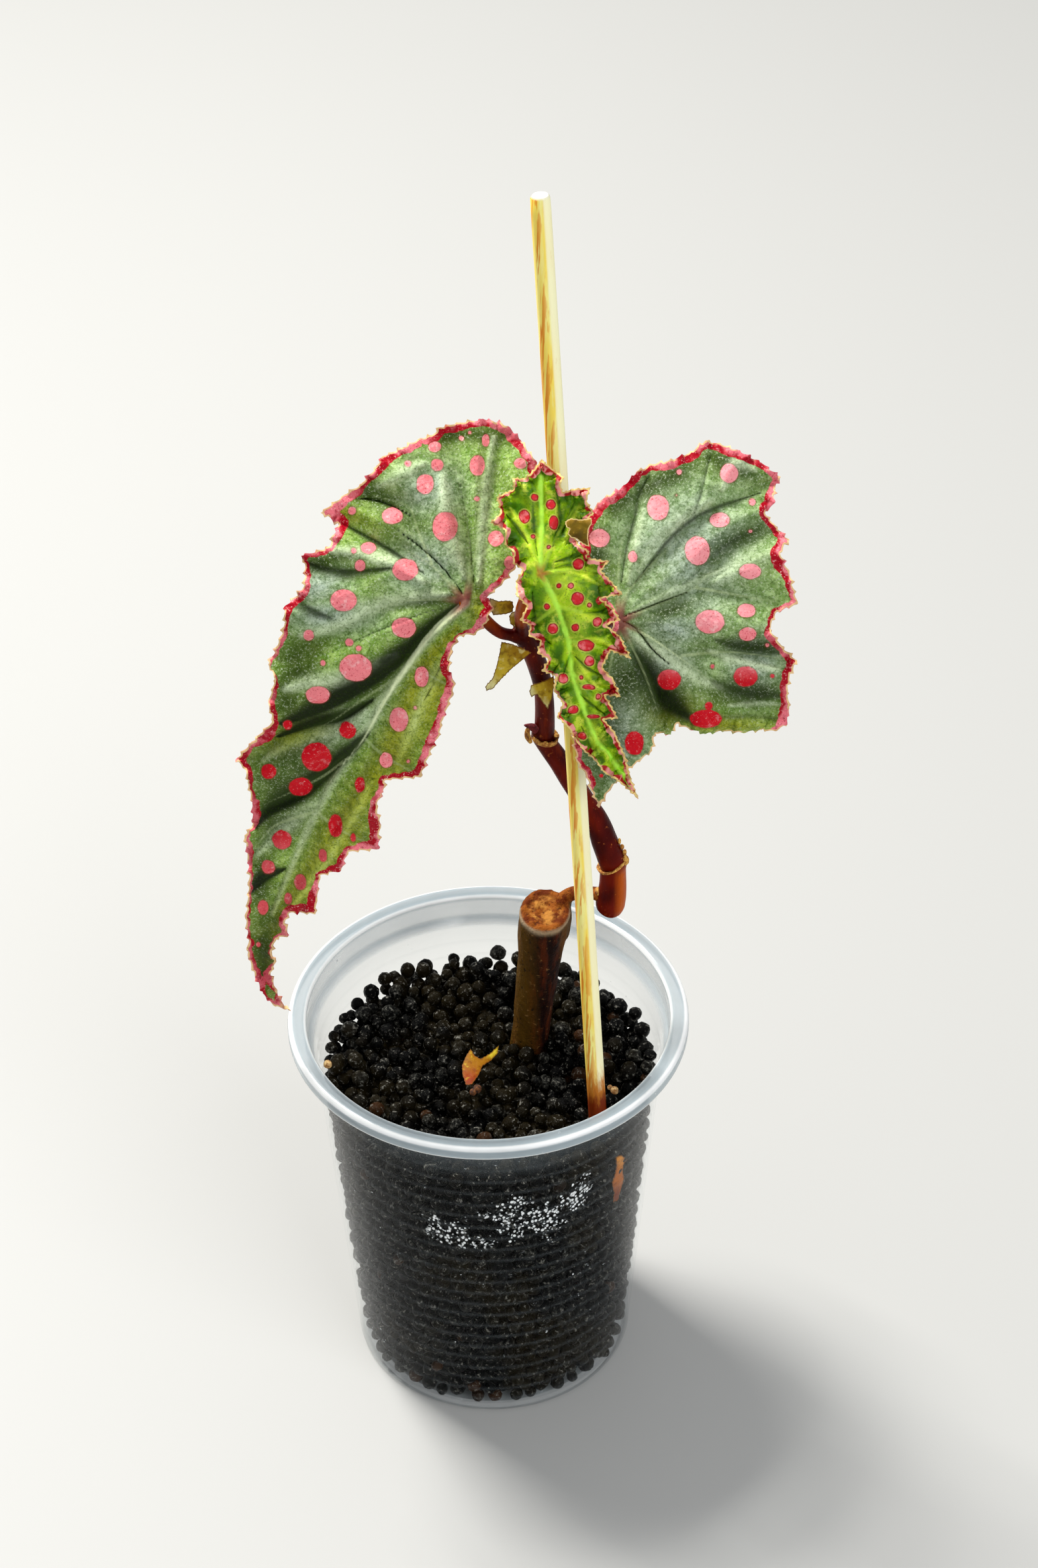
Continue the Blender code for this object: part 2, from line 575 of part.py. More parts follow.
def in_space(seat, point, rise):
    """Place a blade point, lifted by rise towards the viewpoint, without moving it in the view."""
    depth = (seat - VIEWPOINT).dot(LOOKING)
    toward = (VIEWPOINT - seat) / depth
    return seat + toward * rise + (ACROSS * point.x + UPWARD * point.y) * (depth - rise) / depth


def line_distance(point, line):
    """Distance to a line of points, and how far along it the nearest place lies."""
    best = (1.0, 0.0)
    passed = 0.0
    for start, end in zip(line, line[1:]):
        run = end - start
        share = max(0.0, min(1.0, (point - start).dot(run) / run.length_squared))
        distance = (point - start - run * share).length
        best = min(best, (distance, passed + run.length * share))
        passed += run.length
    return best


def inside(point, outline):
    """Even-odd test."""
    within = False
    for start, end in zip(outline, outline[1:] + outline[:1]):
        if (start.y > point.y) != (end.y > point.y):
            crossing = start.x + (point.y - start.y) * (end.x - start.x) / (end.y - start.y)
            if point.x < crossing:
                within = not within
    return within


def blade_plan(outline, pitch):
    """Triangles of an outline filled with a triangle grid of points."""
    closed = outline + outline[:1]
    row_pitch = pitch * math.sqrt(3) / 2
    left = min(point.x for point in outline)
    right = max(point.x for point in outline)
    low = min(point.y for point in outline)
    high = max(point.y for point in outline)
    inner = []
    for row in range(int((high - low) / row_pitch) + 1):
        for column in range(int((right - left) / pitch) + 1):
            point = Vector((left + (column + 0.5 * (row % 2)) * pitch, low + row * row_pitch))
            if inside(point, outline) and line_distance(point, closed)[0] > 0.45 * pitch:
                inner.append(point)
    boundary = list(range(len(outline)))
    corners, edges, faces = delaunay_2d_cdt(outline + inner, [], [boundary], 1, MERGE_DISTANCE)[:3]
    return corners, [tuple(face) for face in faces]


def normals_of(points, faces):
    normals = [Vector((0.0, 0.0, 0.0)) for point in points]
    for a, b, c in faces:
        normal = (points[b] - points[a]).cross(points[c] - points[a])
        for index in (a, b, c):
            normals[index] += normal
    return [normal.normalized() for normal in normals]


def blade_solid(name, outline, shape, pitch, thickness, material):
    """Thin waved solid over an outline, split into the same triangles on both faces."""
    plan, faces = blade_plan(outline, pitch)
    middle = [shape(point) for point in plan]
    normals = normals_of(middle, faces)
    front = [point + normal * thickness / 2 for point, normal in zip(middle, normals)]
    back = [point - normal * thickness / 2 for point, normal in zip(middle, normals)]
    count = len(plan)
    borders = {}
    for a, b, c in faces:
        for start, end in ((a, b), (b, c), (c, a)):
            if (end, start) in borders:
                del borders[(end, start)]
            else:
                borders[(start, end)] = True
    closed = list(faces)
    closed += [(count + c, count + b, count + a) for a, b, c in faces]
    for start, end in borders:
        closed.append((end, start, count + start))
        closed.append((end, count + start, count + end))
    blade = add_object(name, front + back, closed, material)
    smooth(blade)
    return blade


def relief_of_veins(point, veins, depth, width, growth):
    """Veins lie in valleys that deepen away from the seat."""
    nearest = min(line_distance(point, vein)[0] for vein in veins)
    return -depth * min(1.0, point.length / growth) * math.exp(-(nearest / width) ** 2)


def ruffle(point, margin, height, length, width):
    """Waves along the margin that fade inwards."""
    distance, along = line_distance(point, margin)
    return height * math.sin(2 * math.pi * along / length) * math.exp(-(distance / width) ** 2)


def droop(point, reach, sag, lean_back, side_droop, power):
    """Sag below the seat, a lean back above it and falling sides."""
    below = max(-point.y, 0.0)
    above = max(point.y, 0.0)
    return -sag * (below / reach) ** power - lean_back * above ** 2 - side_droop * point.x ** 2


def make_left_leaf(material):
    unit = blade_unit(LEFT_SEAT)
    outline = to_blade(LEFT_OUTLINE, LEFT_SHEET, unit)
    veins = [to_blade(vein, LEFT_SHEET, unit) for vein in LEFT_VEINS]
    margin = outline + outline[:1]

    def shape(point):
        rise = droop(point, LEFT_REACH, LEFT_SAG, LEFT_LEAN_BACK, LEFT_SIDE_DROOP, BLADE_DROOP_POWER)
        rise += relief_of_veins(point, veins, *LEFT_VALLEYS)
        rise += ruffle(point, margin, *BLADE_RUFFLE)
        return in_space(LEFT_SEAT, point, rise)

    blade_solid("leaf_left", outline, shape, BLADE_PITCH, BLADE_THICK, material)


def make_right_leaf(material):
    unit = blade_unit(RIGHT_SEAT)
    outline = to_blade(RIGHT_OUTLINE, RIGHT_SHEET, unit)
    veins = [to_blade(vein, RIGHT_SHEET, unit) for vein in RIGHT_VEINS]
    margin = outline + outline[:1]

    def shape(point):
        rise = droop(point, RIGHT_REACH, RIGHT_SAG, RIGHT_LEAN_BACK, RIGHT_SIDE_DROOP, BLADE_DROOP_POWER)
        rise += relief_of_veins(point, veins, *RIGHT_VALLEYS)
        rise += ruffle(point, margin, *BLADE_RUFFLE)
        if point.x > RIGHT_ROLL_START:
            rise -= RIGHT_ROLL_DEPTH * max(RIGHT_ROLL_LINE - point.y, 0.0)
        return in_space(RIGHT_SEAT, point, rise)

    blade_solid("leaf_right", outline, shape, BLADE_PITCH, BLADE_THICK, material)


def make_young_leaf(material):
    unit = blade_unit(YOUNG_SEAT)
    outline = to_blade(YOUNG_OUTLINE, YOUNG_SHEET, unit)
    veins = [to_blade(vein, YOUNG_SHEET, unit) for vein in YOUNG_VEINS]
    margin = outline + outline[:1]

    def shape(point):
        rise = droop(point, YOUNG_REACH, YOUNG_SAG, YOUNG_LEAN_BACK, 0.0, YOUNG_DROOP_POWER)
        rise -= YOUNG_SIDE_DROOP * line_distance(point, veins[0] if point.y < 0 else veins[2])[0] ** 2
        rise += relief_of_veins(point, veins, *YOUNG_VALLEYS)
        rise += ruffle(point, margin, *YOUNG_RUFFLE)
        return in_space(YOUNG_SEAT, point, rise)

    blade_solid("leaf_young", outline, shape, YOUNG_PITCH, BLADE_THICK, material)


def make_scale(name, seat, sheet_seat, sheet_outline, tilt, curl, material):
    """Small papery scale: tilt turns it from the view, curl bends its sides away."""
    outline = to_blade(sheet_outline, sheet_seat, blade_unit(seat))

    def shape(point):
        return in_space(seat, point, tilt * point.y - curl * point.x ** 2)

    blade_solid(name, outline, shape, SCALE_PITCH, SCALE_THICK, material)


def make_scales():
    papery = paint("papery scale", (0.35, 0.3, 0.06), 0.6)
    dry = paint("dry scale", (0.6, 0.25, 0.06), 0.6)
    make_scale("scale_upper", UPPER_SCALE_SEAT, UPPER_SCALE_SHEET, UPPER_SCALE_OUTLINE, UPPER_SCALE_TILT,
               SCALE_CURL, papery)
    make_scale("scale_middle", MIDDLE_SCALE_SEAT, MIDDLE_SCALE_SHEET, MIDDLE_SCALE_OUTLINE, MIDDLE_SCALE_TILT,
               SCALE_CURL, papery)
    make_scale("scale_lower", LOWER_SCALE_SEAT, LOWER_SCALE_SHEET, LOWER_SCALE_OUTLINE, LOWER_SCALE_TILT,
               SCALE_CURL, papery)
    make_scale("dry_scale", BRACT_SEAT, BRACT_SHEET, BRACT_OUTLINE, BRACT_TILT, BRACT_CURL, dry)


def main():
    clear_scene()
    make_cup()
    make_substrate()
    make_cane()
    make_shoot()
    make_stake()
    grown = paint("spotted green", (0.16, 0.24, 0.14), 0.4)
    make_left_leaf(grown)
    make_right_leaf(grown)
    make_young_leaf(paint("lime green", (0.28, 0.5, 0.05), 0.45))
    make_scales()


main()
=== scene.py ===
"""Looks of the potted begonia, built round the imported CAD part.

Metres, +Z up, in the part's own frame: the origin is the middle of the cup's foot.
"""
import math

import bpy
import numpy as np
from mathutils import Matrix, Vector, noise
from mathutils.geometry import delaunay_2d_cdt


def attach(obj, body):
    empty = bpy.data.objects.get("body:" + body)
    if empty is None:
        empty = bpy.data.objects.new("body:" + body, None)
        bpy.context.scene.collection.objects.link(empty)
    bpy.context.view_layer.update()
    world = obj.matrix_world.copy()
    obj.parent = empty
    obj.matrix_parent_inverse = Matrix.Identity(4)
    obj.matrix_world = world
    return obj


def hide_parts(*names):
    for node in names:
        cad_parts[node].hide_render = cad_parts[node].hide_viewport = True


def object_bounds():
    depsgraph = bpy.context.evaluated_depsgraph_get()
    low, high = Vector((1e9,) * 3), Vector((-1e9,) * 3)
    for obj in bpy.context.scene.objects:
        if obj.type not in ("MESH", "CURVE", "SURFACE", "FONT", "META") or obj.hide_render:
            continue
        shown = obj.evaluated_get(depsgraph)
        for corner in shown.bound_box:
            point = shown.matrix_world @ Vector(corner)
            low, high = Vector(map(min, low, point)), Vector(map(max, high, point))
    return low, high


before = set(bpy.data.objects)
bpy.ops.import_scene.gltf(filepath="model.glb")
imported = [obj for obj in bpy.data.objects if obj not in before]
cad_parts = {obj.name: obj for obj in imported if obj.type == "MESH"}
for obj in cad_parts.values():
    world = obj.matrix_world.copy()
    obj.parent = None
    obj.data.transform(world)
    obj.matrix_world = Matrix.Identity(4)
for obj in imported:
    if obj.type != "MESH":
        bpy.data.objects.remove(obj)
cad_low, cad_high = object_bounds()

MM = 0.001


def mm(*lengths):
    """A point given in millimetres, in metres."""
    return np.array(lengths) * MM


# Drawing sheet: blades are drawn as the viewer in front of the pot, looking down, sees them.
# Sheet points are (right, down) in steps, and each step looks SHEET_STEP radians wide.
VIEWPOINT = mm(6.1, -586.2, 593.6)
VIEW_DOWN = math.radians(38.43)
VIEW_ROLL = math.radians(0.8)
SHEET_STEP = 1.0 / 6578.0
LOOKING = np.array((0.0, math.cos(VIEW_DOWN), -math.sin(VIEW_DOWN)))
LEVEL = np.array((1.0, 0.0, 0.0))
RISING = np.cross(LEVEL, LOOKING)
ACROSS = LEVEL * math.cos(VIEW_ROLL) - RISING * math.sin(VIEW_ROLL)
UPWARD = LEVEL * math.sin(VIEW_ROLL) + RISING * math.cos(VIEW_ROLL)
LENS = 100.0
SENSOR = 36.0

# Studio: each lamp's place, side length, power and colour
LAMPS = {
    "key": ((-0.42, 0.42, 0.9), 0.3, 15.0, (1.0, 0.98, 0.94)),
    "fill": ((0.6, -0.8, 0.8), 0.8, 7.5, (0.97, 0.98, 1.0)),
}
LAMP_AIM = (0.0, 0.0, 0.12)
SKY_COLOUR = (0.92, 0.94, 0.96, 1.0)
SKY_STRENGTH = 0.42
FLOOR_SIZE = 6.0
FLOOR_COLOUR = (0.5, 0.5, 0.485, 1.0)

# Cup
RIM_RADIUS = 36.0 * MM
CUP_HEIGHT = 76.4 * MM
FOOT_RADIUS = 25.4 * MM
BODY_FLARE = 0.0875
BODY_TOP = 70.5 * MM
CUP_WALL = 0.5 * MM
FLOOR_THICK = 0.7 * MM
FLANGE_INNER = 32.6 * MM
RING_PITCH = 3.0 * MM
RING_HEIGHT = 0.05 * MM
RING_STEPS = 8
WALL_START = 2.0 * MM
INSIDE_STEPS = 23
CUP_STEPS = 112
# Skin of the cup in mm, each place with its milkiness, which above 0.6 also paints a white highlight line:
# the foot as (in from the foot's edge, up), and the flange's lip as (in from the rim, down from the top)
FOOT_PROFILE = [(4.0, 0.9, 0.1), (3.4, 0.3, 0.15), (2.8, 0.0, 0.2), (1.2, 0.0, 0.2), (0.4, 0.3, 0.2)]
LIP_PROFILE = [
    (1.2, 0.75, 0.4), (0.75, 1.1, 0.5), (0.7, 2.3, 0.5), (0.35, 2.5, 0.85), (0.05, 2.3, 0.85),
    (0.0, 2.0, 0.6), (0.0, 1.0, 0.5), (0.15, 0.5, 0.85), (0.5, 0.15, 0.9), (1.0, 0.0, 0.6),
    (1.5, 0.06, 0.45),
]
# Moisture inside the wall, shown as painted white glints of its drops: direction in degrees, height in mm,
# and how far each patch reaches in both
WET_PATCHES = ((-106, 50.0, 9, 4.0), (-98, 47.2, 12, 2.0), (-84, 54.5, 9, 4.5), (-72, 52.5, 12, 4.5),
               (-60, 55.5, 8, 4.0))

# Soil
SOIL_LEVEL = 64.0 * MM
GRAIN_SMALLEST = 1.0 * MM
GRAIN_LARGEST = 1.65 * MM
GRAIN_SEED = 5
SHELL_THICK = 3.4 * MM
TOP_THICK = 5.5 * MM
CORE_GAP = 2.2 * MM
CORE_LOW = 4.0 * MM
CORE_HIGH = SOIL_LEVEL - 3.4 * MM
# Grains are heaped against the foot of the cane, and banked against the wall except in front
HEAP_HEIGHT = 3.2 * MM
HEAP_REACH = 6.5 * MM
BANK_HEIGHT = 2.2 * MM
# Packing: each grain tries some places, and may press a little into the last ones that were dropped
MOST_GRAINS = 12000
PLACES_TRIED = 26
LAST_NEIGHBOURS = 1500
GRAIN_PRESS = 0.97
# Crumbs on the soil: place and radius in mm
TAN_CRUMBS = mm((-29.0, -3.8, 67.8, 0.8), (22.4, -10.8, 66.9, 0.75), (21.6, -9.9, 66.8, 0.5))
BROWN_CRUMBS = mm((-2.9, -9.2, 65.5, 0.7), (-2.2, -8.4, 65.5, 0.85))

# Stems
CANE_FOOT = Vector((7.4, 7.2, 64.0)) * MM
CANE_TOP = Vector((10.4, 5.0, 95.8)) * MM
CANE_FOOT_RADIUS = 3.3 * MM
CANE_TOP_RADIUS = 4.5 * MM
CANE_CUT_TILT = math.radians(16)
# How far the cut's face reaches, and the heights where the side branch leaves it and sheds its bark
CUT_REACH = 4.9 * MM
BRANCH_HEIGHT = 97.3 * MM
NECK_HEIGHT = 96.9 * MM
STAKE_ENTRY = Vector((19.3, -12.1, 64.0)) * MM
STAKE_TOP = Vector((10.7, 5.0, 242.1)) * MM
STAKE_RADIUS = 1.65 * MM
STAKE_STEPS = 60
STAKE_BEVEL = 0.35 * MM

# Teeth of the edges, as length and depth, and the blades' thickness
GROWN_TEETH = mm(1.8, 0.55)
YOUNG_TEETH = mm(1.0, 0.28)
SCALE_TEETH = mm(0.7, 0.1)
GROWN_THICK = 0.36 * MM
YOUNG_THICK = 0.32 * MM
SCALE_THICK = 0.2 * MM
SCALE_PITCH = 0.16 * MM
SCALE_SEED = 9
# Least gap between a blade and the box of the solids
BOX_GAP = 0.02 * MM

# Left leaf: its seat, the same on the sheet, its outline, and its veins from the midrib on
LEFT_SEAT = mm(-2.2, -4.0, 170.0)
LEFT_SHEET = (704, 910)
LEFT_OUTLINE = [
    (809, 695), (787, 665), (767, 643), (741, 634), (729, 632), (692, 638), (662, 645), (652, 657),
    (631, 663), (609, 675), (577, 689), (567, 705), (546, 730), (518, 748), (484, 774), (512, 792),
    (500, 811), (498, 825), (455, 839), (461, 857), (457, 889), (429, 916), (429, 944), (421, 968),
    (405, 1003), (415, 1025), (405, 1061), (411, 1090), (378, 1122), (355, 1147), (370, 1161), (374, 1181),
    (381, 1214), (381, 1246), (369, 1261), (374, 1300), (376, 1339), (370, 1386), (374, 1404), (374, 1443),
    (385, 1475), (397, 1500), (413, 1518), (439, 1526), (424, 1511), (417, 1493), (408, 1470), (417, 1452),
    (410, 1436), (417, 1418), (436, 1412), (430, 1391), (440, 1377), (476, 1380), (479, 1357), (483, 1321),
    (515, 1314), (526, 1286), (572, 1282), (574, 1243), (569, 1214), (579, 1196), (581, 1178), (636, 1173),
    (647, 1143), (663, 1111), (669, 1086), (685, 1046), (686, 1029), (678, 1011), (682, 980), (694, 960),
    (718, 958), (735, 940), (745, 916), (735, 902), (759, 881), (779, 857), (786, 838), (790, 800),
    (800, 760), (812, 725),
]
LEFT_VEINS = [
    [(704, 910), (656, 952), (617, 1003), (580, 1058), (550, 1113), (505, 1172), (478, 1224), (453, 1293),
     (426, 1338), (405, 1396), (396, 1448), (416, 1506)],
    [(704, 910), (677, 904), (606, 907), (568, 923), (527, 948), (471, 970), (425, 985)],
    [(704, 910), (690, 895), (652, 854), (609, 829), (571, 820), (527, 795), (505, 783)],
    [(652, 852), (631, 801), (615, 764), (559, 748)],
    [(704, 910), (709, 839), (699, 745), (684, 660)],
    [(704, 910), (727, 795), (743, 723), (755, 660)],
    [(606, 1020), (546, 1056), (488, 1096), (416, 1125), (375, 1145)],
    [(532, 1140), (490, 1170), (440, 1195), (398, 1215), (382, 1240)],
    [(478, 1224), (440, 1236), (410, 1250), (376, 1290)],
    [(617, 1003), (650, 1020), (680, 1035)],
    [(550, 1113), (580, 1140), (630, 1168)],
    [(478, 1224), (510, 1250), (565, 1276)],
]
LEFT_REACH = 67.3 * MM
LEFT_SAG = 44.0 * MM
LEFT_PITCH = 0.4 * MM
LEFT_SEED = 47
# Painted shade on the spots: they turn dark red from the first row down, less so below the second and right
# of the column
LEFT_SHADE_ROWS = (1030, 1220)
LEFT_SHADE_COLUMN = 560
LEFT_SHADE_FADE = 60
# Spots: middle, half width and half height
LEFT_SPOTS = [
    (672, 795, 18, 22), (642, 731, 13, 15), (721, 703, 11, 15), (733, 665, 6, 9), (698, 662, 4, 4),
    (710, 653, 3, 3), (660, 702, 9, 9), (656, 675, 9, 8), (616, 700, 5, 5), (592, 779, 15, 12),
    (556, 828, 11, 9), (544, 853, 8, 9), (534, 832, 4, 4), (532, 771, 6, 6), (720, 753, 4, 4),
    (786, 700, 9, 8), (749, 813, 12, 12), (769, 849, 8, 9), (612, 860, 19, 16), (519, 906, 20, 16),
    (610, 947, 18, 15), (466, 958, 8, 8), (528, 970, 6, 6), (542, 979, 4, 4), (488, 1001, 4, 4),
    (537, 1007, 24, 20), (480, 1048, 18, 13), (637, 1021, 11, 16), (603, 1086, 14, 18), (628, 1068, 3, 3),
    (525, 1102, 12, 12), (478, 1142, 22, 21), (434, 1093, 7, 7), (406, 1164, 11, 11), (454, 1187, 18, 14),
    (583, 1147, 10, 12), (544, 1184, 8, 12), (617, 1148, 3, 3), (426, 1267, 14, 14), (405, 1308, 10, 10),
    (507, 1246, 11, 18), (488, 1291, 6, 10), (454, 1331, 9, 12), (436, 1356, 6, 9), (397, 1369, 8, 11),
    (390, 1425, 4, 4), (533, 1264, 4, 7),
]
# Creases between the ribs, sunk and darkened with painted shade, and ridges, raised and lightened with
# painted light: half width, strength and line, sharper on the line's left
LEFT_SHADED_CREASES = [
    (4, 1.0, [(528, 750), (575, 757), (619, 778)]),
    (9, 0.8, [(513, 788), (548, 806), (590, 830), (640, 866)]),
    (17, 0.75, [(458, 846), (500, 860), (540, 862), (590, 856)]),
    (16, 0.7, [(426, 893), (460, 915), (500, 932)]),
    (30, 1.0, [(692, 915), (655, 945), (619, 983), (561, 1028), (494, 1066), (425, 1093)]),
    (20, 1.0, [(563, 1058), (520, 1083), (475, 1092), (420, 1112)]),
    (32, 1.0, [(554, 1110), (502, 1160), (458, 1198), (407, 1226), (385, 1250)]),
    (17, 1.0, [(430, 1312), (399, 1326), (376, 1350)]),
    (12, 0.4, [(566, 1096), (560, 1150), (530, 1210), (496, 1270)]),
    (3, 1.0, [(700, 900), (672, 862), (640, 832), (600, 800)]),
    (3, 0.6, [(690, 912), (640, 926), (560, 958), (500, 986)]),
    (4, 0.5, [(716, 880), (706, 800), (694, 730)]),
    (4, 0.6, [(700, 945), (670, 1000), (640, 1060)]),
]
LEFT_LIT_RIDGES = [
    (8, 1.0, [(706, 914), (660, 955), (619, 1003), (576, 1062), (563, 1088), (513, 1165), (475, 1232),
              (441, 1308), (412, 1380)]),
    (13, 1.0, [(676, 898), (610, 903), (560, 920), (510, 945), (455, 960)]),
    (10, 1.0, [(722, 880), (728, 800), (735, 720), (745, 660)]),
    (14, 1.0, [(700, 870), (676, 790), (668, 720)]),
    (12, 1.0, [(640, 880), (590, 850), (540, 835), (500, 832)]),
    (12, 0.6, [(555, 1072), (510, 1100), (445, 1118), (399, 1148)]),
    (14, 0.7, [(495, 1200), (430, 1252), (388, 1290)]),
    (12, 1.0, [(690, 975), (655, 1030), (625, 1090), (600, 1150)]),
    (10, 1.0, [(560, 1180), (530, 1240), (490, 1300), (440, 1370)]),
    (12, 0.7, [(640, 700), (600, 720), (570, 735)]),
    (16, 1.0, [(600, 990), (540, 1020), (480, 1030), (430, 1040)]),
]
# Broad areas darkened with painted shade, yellower areas, and areas greyed with painted sheen: middle, half
# length, half width and climb to the right
LEFT_PAINTED_SHADE = [
    (440, 1205, 66, 40, 0.3), (436, 1060, 34, 44, 0.0), (470, 1060, 60, 20, 0.4),
    (440, 1165, 90, 70, 0.35), (400, 1440, 34, 90, 0.0), (556, 742, 70, 22, -0.6), (440, 1010, 46, 56, 0.3),
    (592, 992, 70, 18, 0.75), (420, 1245, 52, 40, 0.2), (393, 1335, 24, 60, 0.0), (520, 1040, 90, 30, 0.4),
    (640, 905, 60, 12, 0.1), (700, 660, 90, 16, 0.0), (486, 846, 60, 18, 0.1),
]
LEFT_OLIVE = [
    (655, 1055, 46, 66, 1.5), (596, 1150, 50, 76, 1.5), (520, 1270, 46, 70, 1.5), (440, 1390, 36, 70, 1.5),
    (728, 925, 24, 36, 0.0), (405, 1450, 26, 60, 0.0), (440, 1110, 60, 26, 0.3),
    (500, 765, 60, 12, -0.4),
]
# The olive half right of the midrib, and the stretch with a narrow margin
LEFT_OLIVE_LINES = [
    (30, 1.0, [(690, 950), (640, 1010), (610, 1085), (575, 1160), (520, 1240), (462, 1330), (416, 1410),
               (400, 1490)]),
]
LEFT_NARROW = [(70, 0.13, [(440, 1340), (400, 1400), (396, 1440), (420, 1520)])]
# Areas of painted grey sheen
LEFT_PAINTED_SHEEN = [
    (480, 885, 60, 34, 0.2), (640, 850, 70, 60, 0.0), (500, 930, 90, 30, 0.0), (500, 1100, 80, 30, 0.4),
    (650, 740, 60, 50, 0.0),
]

# Right leaf
RIGHT_SEAT = mm(23.1, -3.0, 165.1)
RIGHT_SHEET = (935, 938)
RIGHT_OUTLINE = [
    (880, 800), (888, 780), (900, 764), (907, 756), (944, 732), (962, 712), (985, 701), (1007, 697),
    (1040, 685), (1066, 665), (1090, 672), (1115, 680), (1150, 699), (1179, 720), (1170, 740), (1170, 760),
    (1155, 775), (1172, 795), (1192, 815), (1178, 835), (1192, 865), (1205, 912), (1172, 925), (1163, 950),
    (1180, 975), (1204, 998), (1192, 1025), (1190, 1045), (1192, 1070), (1189, 1094), (1170, 1104),
    (1150, 1102), (1120, 1106), (1094, 1104), (1065, 1108), (1040, 1100), (1022, 1093), (1013, 1109),
    (990, 1108), (985, 1134), (959, 1154), (932, 1180), (920, 1195), (905, 1220), (892, 1193), (885, 1171),
    (870, 1149), (867, 1120), (859, 1093), (853, 1078), (866, 1045), (886, 1005), (905, 970), (926, 946),
    (925, 930), (905, 915), (890, 885), (878, 840),
]
RIGHT_VEINS = [
    [(935, 938), (980, 962), (1035, 1000), (1100, 1045), (1175, 1088)],
    [(935, 938), (971, 1012), (993, 1075)],
    [(935, 938), (970, 923), (1048, 887), (1110, 825), (1167, 798)],
    [(1048, 887), (1120, 900), (1171, 909)],
    [(935, 938), (950, 892), (1015, 824), (1090, 765), (1152, 735)],
    [(935, 938), (936, 835), (960, 770), (972, 724)],
    [(1030, 990), (1090, 985), (1150, 990), (1180, 996)],
    [(935, 938), (915, 1040), (905, 1120), (905, 1190)],
]
RIGHT_REACH = 31.0 * MM
RIGHT_SAG = 8.5 * MM
RIGHT_PITCH = 0.35 * MM
RIGHT_SEED = 23
# The edge is turned under this far below the seat, from this far right of it
RIGHT_TURN_DOWN = 17.0 * MM
RIGHT_TURN_ACROSS = 8 * MM
# Painted light and shade on the spots: dark red below this row, paler pink above it
RIGHT_SHADE_ROW = 960
RIGHT_SHADE_FADE = 90
RIGHT_SPOTS = [
    (1072, 939, 22, 17), (1127, 923, 14, 10), (1129, 957, 13, 10), (1011, 1026, 17, 15), (1126, 1021, 18, 15),
    (958, 1122, 14, 18), (1066, 1085, 24, 13), (1070, 1066, 6, 6), (908, 1171, 3, 3), (994, 767, 16, 19),
    (1101, 715, 13, 14), (1087, 786, 15, 11), (1053, 832, 18, 21), (1133, 863, 16, 11), (905, 813, 15, 14),
    (956, 841, 6, 8), (1026, 713, 4, 4), (1021, 749, 2, 2), (1136, 759, 5, 5), (1133, 802, 3, 3),
    (1159, 973, 3, 3), (1076, 1006, 3, 3), (1166, 1021, 3, 3),
]
# Creases sunk and darkened with painted shade, and ridges raised and lightened with painted light
RIGHT_SHADED_CREASES = [
    (9, 0.45, [(1145, 800), (1111, 814), (1088, 830), (1065, 853), (1030, 884)]),
    (7, 0.7, [(959, 880), (989, 840), (1016, 808), (1050, 781), (1088, 764), (1149, 745)]),
    (6, 0.6, [(938, 880), (946, 832), (957, 787), (966, 745), (980, 718)]),
    (5, 0.5, [(1031, 800), (1052, 764), (1067, 711), (1071, 690)]),
    (18, 0.6, [(1176, 986), (1126, 979), (1080, 966)]),
    (30, 0.85, [(1046, 1088), (1010, 1060), (984, 1028), (958, 986)]),
    (20, 0.6, [(1184, 1052), (1149, 1048), (1111, 1044), (1076, 1030)]),
    (3, 1.0, [(937, 936), (960, 950), (985, 980), (1012, 1004)]),
    (3, 1.0, [(940, 932), (990, 912), (1040, 893)]),
    (10, 0.5, [(1178, 1086), (1130, 1082), (1070, 1084)]),
]
RIGHT_LIT_RIDGES = [
    (9, 0.7, [(950, 928), (1000, 903), (1048, 880), (1090, 862)]),
    (13, 1.0, [(945, 950), (975, 970), (1016, 996), (1050, 1021), (1090, 1038)]),
    (18, 0.45, [(1080, 880), (1120, 856), (1168, 834)]),
    (16, 0.6, [(965, 862), (992, 820), (1028, 784), (1070, 755)]),
    (9, 0.6, [(950, 880), (958, 830), (972, 772)]),
    (8, 1.0, [(1070, 982), (1120, 1000), (1176, 1012)]),
    (10, 1.0, [(1090, 740), (1110, 700), (1140, 710)]),
    (3, 1.0, [(1100, 1066), (1140, 1062), (1178, 1062)]),
]
# Stretches of the margin without a red band, as areas too
RIGHT_BARE = [
    (1100, 1106, 62, 22, 0.0), (960, 1150, 42, 34, 0.7), (905, 1216, 26, 22, 0.0),
    (1020, 1098, 30, 14, 0.0),
]
# Broad areas of painted shade
RIGHT_PAINTED_SHADE = [
    (950, 1020, 56, 66, 0.0), (985, 735, 90, 22, 0.5), (1000, 1062, 56, 40, 0.0), (905, 1120, 44, 80, 0.0),
    (1135, 975, 76, 18, 0.0), (1130, 1046, 80, 26, 0.0), (1010, 925, 66, 16, 0.35), (1120, 810, 66, 22, 0.4),
    (1110, 705, 60, 22, -0.4), (900, 850, 22, 60, 0.0),
]
RIGHT_OLIVE = [(1015, 1074, 40, 28, 0.0), (1090, 1095, 90, 12, 0.0)]
# Areas of painted grey sheen
RIGHT_PAINTED_SHEEN = [(1040, 840, 130, 140, 0.0), (1000, 1000, 80, 60, 0.0), (930, 1100, 70, 110, 0.0),
              (1140, 1000, 60, 60, 0.0), (1020, 950, 70, 40, 0.0)]

